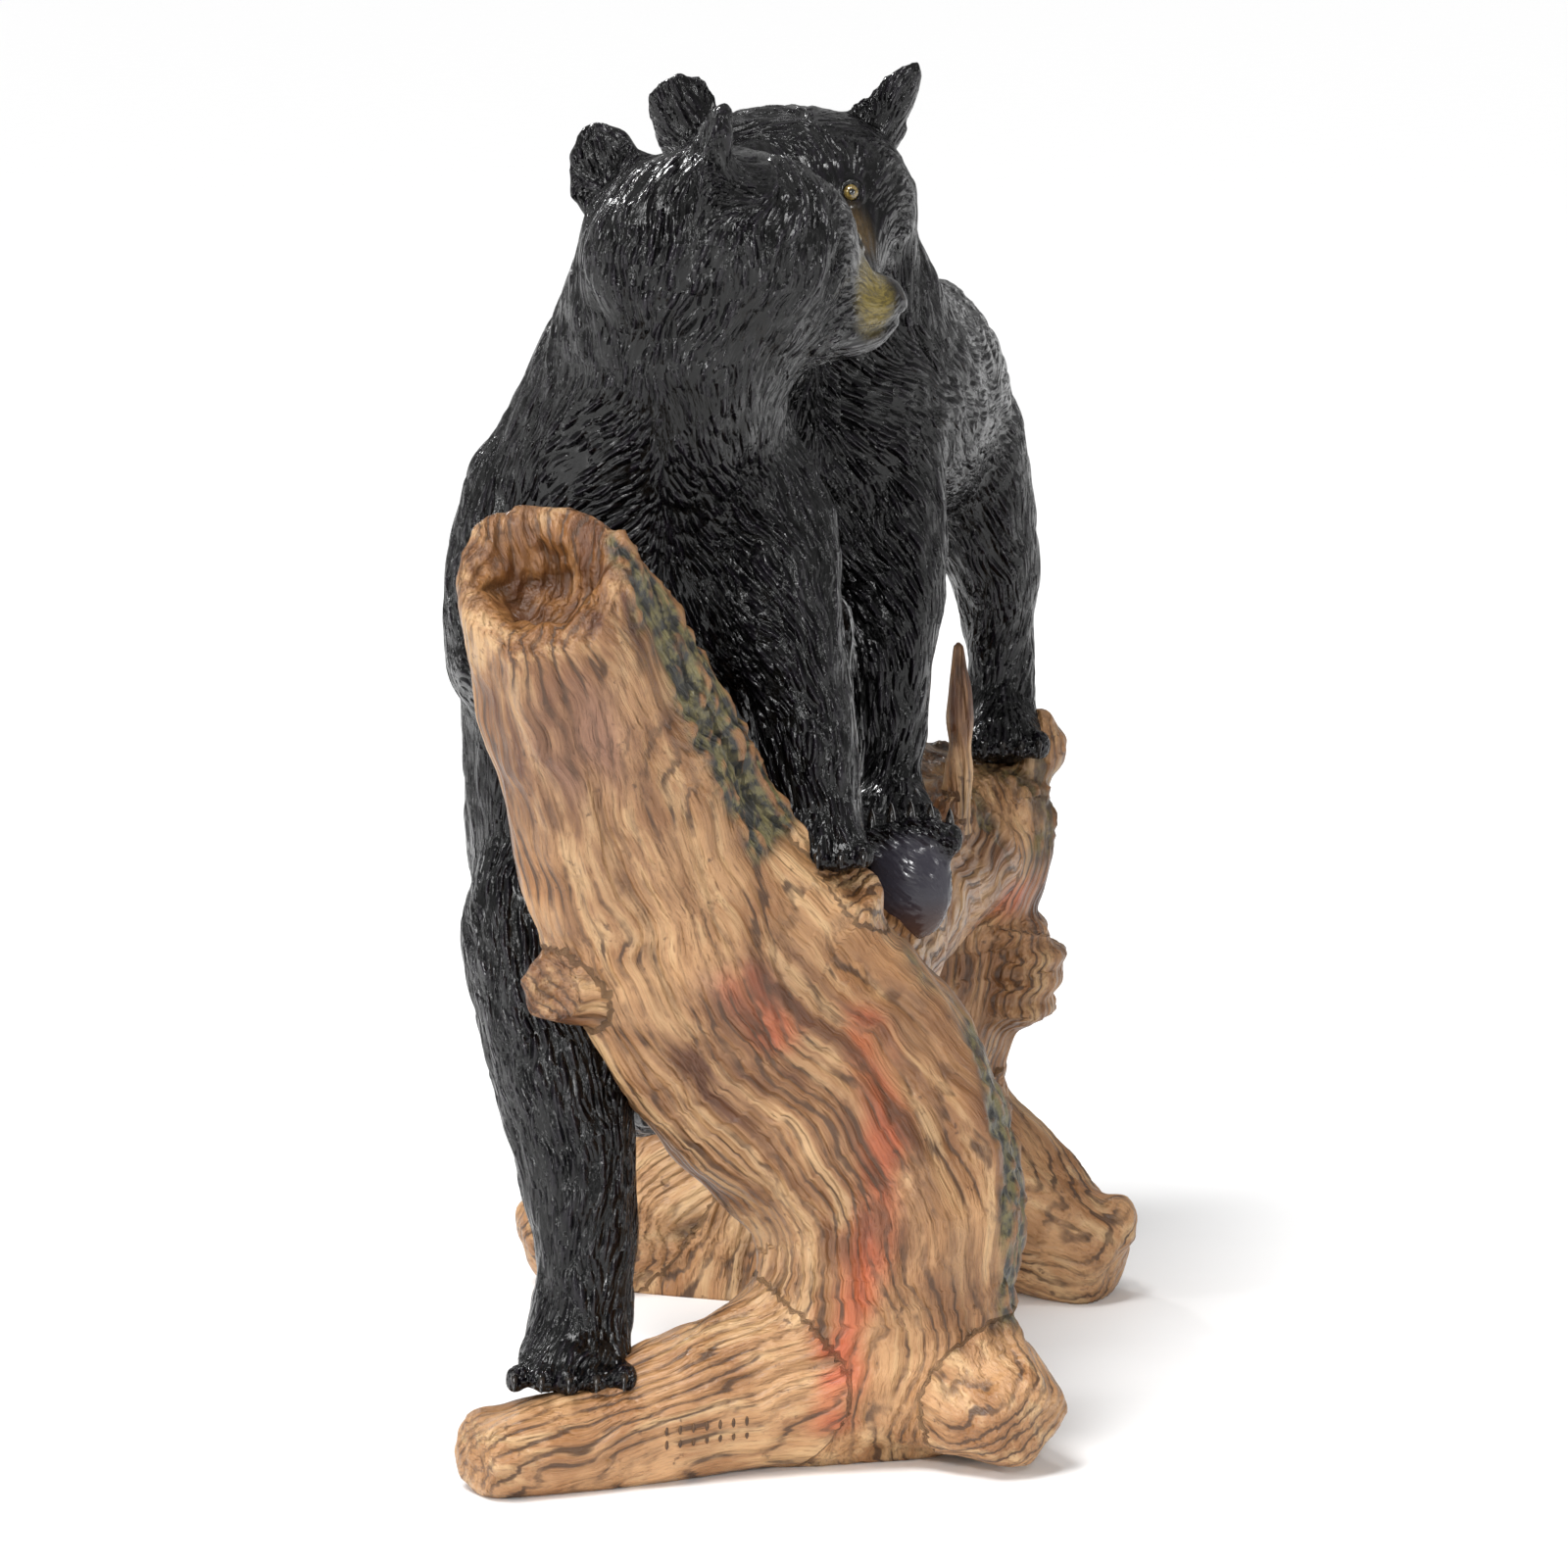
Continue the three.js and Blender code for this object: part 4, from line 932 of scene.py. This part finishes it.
class STATUE_OT_log(bpy.types.Operator):
    """Builds the painted driftwood log"""
    bl_idname = "statue.log"
    bl_label = "Driftwood log"

    def execute(self, context):
        """Moves each vertex along its normal by a sum of knots, grooves and grain, less at the floor.

        Rough bark takes the place of half of that. Each paint zone is a falloff of the distance
        from its lines or spots, broken up by noise.
        """
        settings = context.scene.statue_settings
        ridge = grooves(0.07, 1.3)
        branch = {"rows": BRANCH, "side": (1, 0.2, 0.4), "ridge": ridge, "sides": 64,
                  "hollow": BRANCH_HOLLOW, "round": (0.1, 0.1), "slant": BRANCH_END_SLANT}
        stump = {"rows": STUMP, "ridge": ridge, "sides": 80, "round": (0.1, 0.35), "flow": -1}
        bridge = {"rows": BRIDGE, "ridge": ridge, "sides": 64}
        roots = [{"rows": rows, "side": (0, 0, 1), "ridge": ridge, "round": (0.9, 0.3)}
                 for rows in ROOTS.values()]
        stubs = [{"rows": KNOB, "side": (0, 0, 1), "hollow": PIT},
                 {"rows": STUB, "hollow": PIT}, {"rows": SPIKE, "sides": 20}, {"rows": BARK}]
        parts = [branch, bridge, stump] + roots + stubs
        lumps = [ball((92, 160, 205), (12, 16, 14)), ball((125, 116, 30), (7, 12, 12))]
        lumps += [ball((x, y, z), (a, b, SLAB_HALF_HEIGHT)) for x, y, z, a, b in SLABS]
        skin = Skin(*joined_skin("log", [sweep(p) for p in parts] + lumps,
                                 settings.log_voxel / MM))
        skin.verts = skin.smooth(skin.verts, 6)
        # Roots and stubs melt into the trunk: creases are filled, ridges stay.
        normal = skin.normals()
        rise = skin.creases(normal, 80) * (1 - falloff(skin.verts[:, 2], 4, 16))
        mouth = np.array(BRANCH[0][:3], float)
        rise = rise * (1 - falloff(norm(skin.verts - mouth), 34, 50))
        skin.verts = skin.smooth(skin.verts + normal * skin.smooth(rise, 6)[:, None], 2)
        normal = skin.normals()
        flow, place = nearest_part(skin.verts, parts)
        flow = on_surface(skin.smooth(on_surface(flow, normal), 20), normal)
        wave = 0.5 * lattice_noise(skin.verts, 42, 11) + 0.3 * lattice_noise(skin.verts, 15, 12)
        flow = turned(flow, normal, wave)
        p = skin.verts
        seen = p * FLAT
        wander = 5 * lattice_noise(p, 12, 21)
        bark = np.max([falloff(line_distance(seen, line * FLAT) + wander, 7, 13)
                       for line in map(np.array, BARK_LINES)], axis=0)
        far_bark = falloff(np.abs(p[:, 2] - 188), 14, 30) * (p[:, 1] > 100) \
            * np.clip(0.2 + 1.6 * lattice_noise(p, 14, 22), 0, 1)
        rust = np.max([falloff(line_distance(seen, line * FLAT) + wander * 0.6, 2, 13)
                       for line in map(np.array, RED_LINES)], axis=0)
        # Long grooves: noise in the part's own frame, stretched along it, cut where it is low.
        bend = np.stack([6 * lattice_noise(p, 40, k) + 2 * lattice_noise(p, 14, k + 5)
                         for k in (41, 42, 43)], -1)
        frame_place = place * np.array([0.07, 1.0, 1.0]) + bend
        broad = lattice_noise(frame_place, 11, 31)
        narrow = lattice_noise(frame_place, 5.5, 32)
        streak = skin.combed(flow, 20, 33, soften=1, sharpness=8)
        rust = 0.85 * rust * np.clip(0.75 + 0.8 * narrow, 0, 1)
        mauve = np.max([falloff(norm((p[:, [0, 2]] - at) / half), 0.4, 1.2)
                        for at, half in (((-72, 266), (22, 30)), ((-20, 172), (18, 14)))], axis=0)
        mauve = mauve * (p[:, 1] < -120) * np.clip(0.5 + 0.7 * narrow, 0, 0.8)
        knots = 1.6 * lattice_noise(p, 26, 33) + 0.8 * lattice_noise(p, 10, 34)
        fibres = frame_place * np.array([3.0, 1.0, 1.0])
        chunks = 3.6 * np.abs(lattice_noise(fibres, 5, 35)) + 1.0 * lattice_noise(p, 4, 36)
        inward = unit(np.array(BRANCH[1][:3], float) - mouth)
        along = (p - mouth) @ inward
        across = norm(p - mouth - along[:, None] * inward)
        # The hollow zone is the inside of the branch's end: it roughens the wood there and bounds the
        # painted shade inside it.
        hollow_zone = falloff(across, 19, 25) * falloff(np.abs(along - 6), 20, 30)
        grain = settings.grain_depth / MM
        lift = knots + grain * (1.5 * broad + 1.4 * narrow + 0.4 * np.tanh(streak))
        rough = np.maximum(bark, far_bark)
        lift = lift * (1 - 0.5 * rough) + rough * (chunks - 0.8)
        lift = lift + hollow_zone * (2.4 * lattice_noise(p, 7, 37) + 1.2 * lattice_noise(p, 3.5, 38))
        floor_zone = falloff(p[:, 2], 0.5, 6)
        skin.verts = p + normal * (lift * (1 - floor_zone))[:, None]
        skin.verts[:, 2] = np.maximum(skin.verts[:, 2], 0)
        wash = falloff(60 - p[:, 2], -30, 30) * np.clip(0.7 + 0.8 * lattice_noise(p, 30, 24), 0, 1)
        attributes = {"relief": skin.relief(9) * 0.6, "wash": wash,
                      "bark": np.maximum(bark, 0.75 * far_bark),
                      "rust": rust, "mauve": mauve,
                      # The hollow attribute places painted shade inside the branch's hollow end.
                      "hollow": 0.75 * hollow_zone * falloff(-along, 2, 8), "place": frame_place}
        finished_piece("driftwood_log_painted", skin, model_shift(settings), attributes,
                       [wood_material(settings), umber_material()],
                       [(1, mark) for mark in mark_strokes(skin)], "driftwood_log")
        return {"FINISHED"}


class STATUE_OT_sitting_bear(bpy.types.Operator):
    """Builds the bear that sits in front and hugs the branch"""
    bl_idname = "statue.sitting_bear"
    bl_label = "Sitting bear"

    def execute(self, context):
        """Sweeps the trunk and limbs, adds hands, feet and claws, and has them joined."""
        settings = context.scene.statue_settings
        parts = [{"rows": SITTING["torso"], "sides": 64, "flow": -1},
                 {"rows": SITTING["left_arm"]}, {"rows": SITTING["right_arm"]},
                 {"rows": SITTING["right_leg"], "sides": 48},
                 {"rows": SITTING["left_leg"], "side": (0, 1, 0), "sides": 48}]
        front, up, back = (0, -1, 0), (0, 0, 1), (0, 1, 0)
        extras = [ball((8, -98, 216), (19, 17, 11)), ball((-76, -130, 41), (21, 22, 13)),
                  ball((41, -55, 191), (17, 11, 21))]
        claws = []
        for args in (((8, -99, 213), front, up, 19, 13, 4), ((-77, -134, 38), front, up, 22, 17, 4),
                     ((41, -57, 194), up, back, 17, 17, 3)):
            toes, nails = toe_parts(*args)
            extras += toes
            claws += nails
        bear_skin("sitting_bear", SITTING, parts, extras, claws, settings,
                  settings.sitting_muzzle)
        return {"FINISHED"}


class STATUE_OT_standing_bear(bpy.types.Operator):
    """Builds the bear that stands behind on all fours"""
    bl_idname = "statue.standing_bear"
    bl_label = "Standing bear"

    def execute(self, context):
        """Sweeps the body, chest and legs, adds the tail, paws and claws, and has them joined."""
        settings = context.scene.statue_settings
        parts = [{"rows": STANDING["body"], "sides": 64}, {"rows": STANDING["chest"], "sides": 48}]
        parts += [{"rows": STANDING[key]} for key in ("fore_left", "fore_right", "hind_left",
                                                      "hind_right")]
        extras = [ball((45, 203, 345), (9, 12, 14))]
        claws = []
        for x, y, z in STANDING["paws"]:
            extras.append(ball((x, y, z), (17, 18, 12)))
            toes, nails = toe_parts((x, y - 2, z - 2), (0, -1, 0), (0, 0, 1), 17, 14, 4)
            extras += toes
            claws += nails
        bear_skin("standing_bear", STANDING, parts, extras, claws, settings,
                  settings.standing_muzzle)
        return {"FINISHED"}


class STATUE_OT_eyes(bpy.types.Operator):
    """Builds the four glass bead eyes"""
    bl_idname = "statue.eyes"
    bl_label = "Glass eyes"

    def execute(self, context):
        """A ball in the middle of each eye's solid; its gaze is the cosine of the angle to ahead."""
        settings = context.scene.statue_settings
        material = eye_material(settings)
        for index, node in enumerate(EYE_NODES):
            figure = SITTING if index < 2 else STANDING
            _, f, s = head_part(figure)
            hand = -1 if index % 2 == 0 else 1
            gaze = unit(f - s * hand * 0.12 + UP * 0.17)
            low, high = (np.array(v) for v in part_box(node))
            centre = (low + high) / 2
            verts, faces = ball(centre, [settings.eye_diameter / 2] * 3, sides=32, rings=20)
            piece = new_object(node + "_glass", verts.tolist(), faces)
            mesh = piece.data
            mesh.polygons.foreach_set("use_smooth", [True] * len(faces))
            layer = mesh.attributes.new("gaze", "FLOAT", "POINT")
            layer.data.foreach_set("value", unit(verts - centre) @ gaze)
            mesh.materials.append(material)
            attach(piece, "root")
            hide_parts(node)
        return {"FINISHED"}


class STATUE_OT_stage(bpy.types.Operator):
    """Builds the pale floor, the studio lights and the camera"""
    bl_idname = "statue.stage"
    bl_label = "Stage"

    def execute(self, context):
        """The lamps face the statue, and the camera looks down on it by its elevation."""
        settings = context.scene.statue_settings
        shift = model_shift(settings) * MM
        sides = ((-1, -1), (1, -1), (1, 1), (-1, 1))
        corners = [(x * FLOOR_REACH, y * FLOOR_REACH, 0) for x, y in sides]
        floor = new_object("studio_floor", corners, [(0, 1, 2, 3)])
        # Matt white paper, with hardly any tone of its own.
        material, tree = new_material("pale_studio_paper")
        specks = noise(tree, object_place(tree), 0.025)
        colour = blend(tree, specks, PAINT["floor"], PAINT["floor speck"])
        finish_material(tree, colour, ramp(tree, specks, 0.0, 1.0, 0.6, 0.7))
        floor.data.materials.append(material)

        world = bpy.data.worlds.new("studio")
        context.scene.world = world
        world.use_nodes = True
        world.node_tree.nodes["Background"].inputs[0].default_value = (1, 1, 1, 1)
        world.node_tree.nodes["Background"].inputs[1].default_value = WORLD_STRENGTH
        # The photograph's colours are plain display colours, so no film curve is laid over them.
        context.scene.view_settings.view_transform = "Standard"
        for name, kind, place, size, power in LAMPS:
            lamp = bpy.data.lights.new(name, kind)
            setattr(lamp, "size" if kind == "AREA" else "angle", size)
            lamp.energy = power
            holder = bpy.data.objects.new(name, lamp)
            holder.location = place
            towards = LAMPS_FACE - Vector(place)
            holder.rotation_euler = towards.to_track_quat("-Z", "Y").to_euler()
            context.scene.collection.objects.link(holder)

        target = CAMERA_TARGET + Vector(shift)
        ahead = Vector((0, math.cos(CAMERA_ELEVATION), -math.sin(CAMERA_ELEVATION)))
        lens = bpy.data.cameras.new("camera")
        lens.lens = PIXELS_PER_SLOPE / PHOTO_WIDTH * SENSOR_WIDTH
        lens.sensor_width = SENSOR_WIDTH
        lens.clip_end = CAMERA_REACH
        camera = bpy.data.objects.new("camera", lens)
        camera.location = target - ahead * CAMERA_DISTANCE
        camera.rotation_euler = ahead.to_track_quat("-Z", "Y").to_euler()
        context.scene.collection.objects.link(camera)
        context.scene.camera = camera
        return {"FINISHED"}


OPERATORS = (STATUE_OT_log, STATUE_OT_sitting_bear, STATUE_OT_standing_bear, STATUE_OT_eyes,
             STATUE_OT_stage)


class STATUE_PT_panel(bpy.types.Panel):
    """Lists the statue's pieces"""
    bl_label = "Two bear log statue"
    bl_idname = "STATUE_PT_panel"
    bl_space_type = "VIEW_3D"
    bl_region_type = "UI"
    bl_category = "Statue"

    def draw(self, context):
        """One button for each piece, then every setting."""
        for operator in OPERATORS:
            self.layout.operator(operator.bl_idname)
        for key in StatueSettings.__annotations__:
            self.layout.prop(context.scene.statue_settings, key)


def register():
    """Registers the classes and gives the scene its settings."""
    for cls in (StatueSettings, *OPERATORS, STATUE_PT_panel):
        bpy.utils.register_class(cls)
    bpy.types.Scene.statue_settings = bpy.props.PointerProperty(type=StatueSettings)


def unregister():
    """Takes back what register did, in the other order."""
    del bpy.types.Scene.statue_settings
    for cls in (STATUE_PT_panel, *reversed(OPERATORS), StatueSettings):
        bpy.utils.unregister_class(cls)


def main():
    """Builds every piece and the stage."""
    register()
    bpy.ops.statue.log()
    bpy.ops.statue.sitting_bear()
    bpy.ops.statue.standing_bear()
    bpy.ops.statue.eyes()
    bpy.ops.statue.stage()


if __name__ == "__main__":
    main()
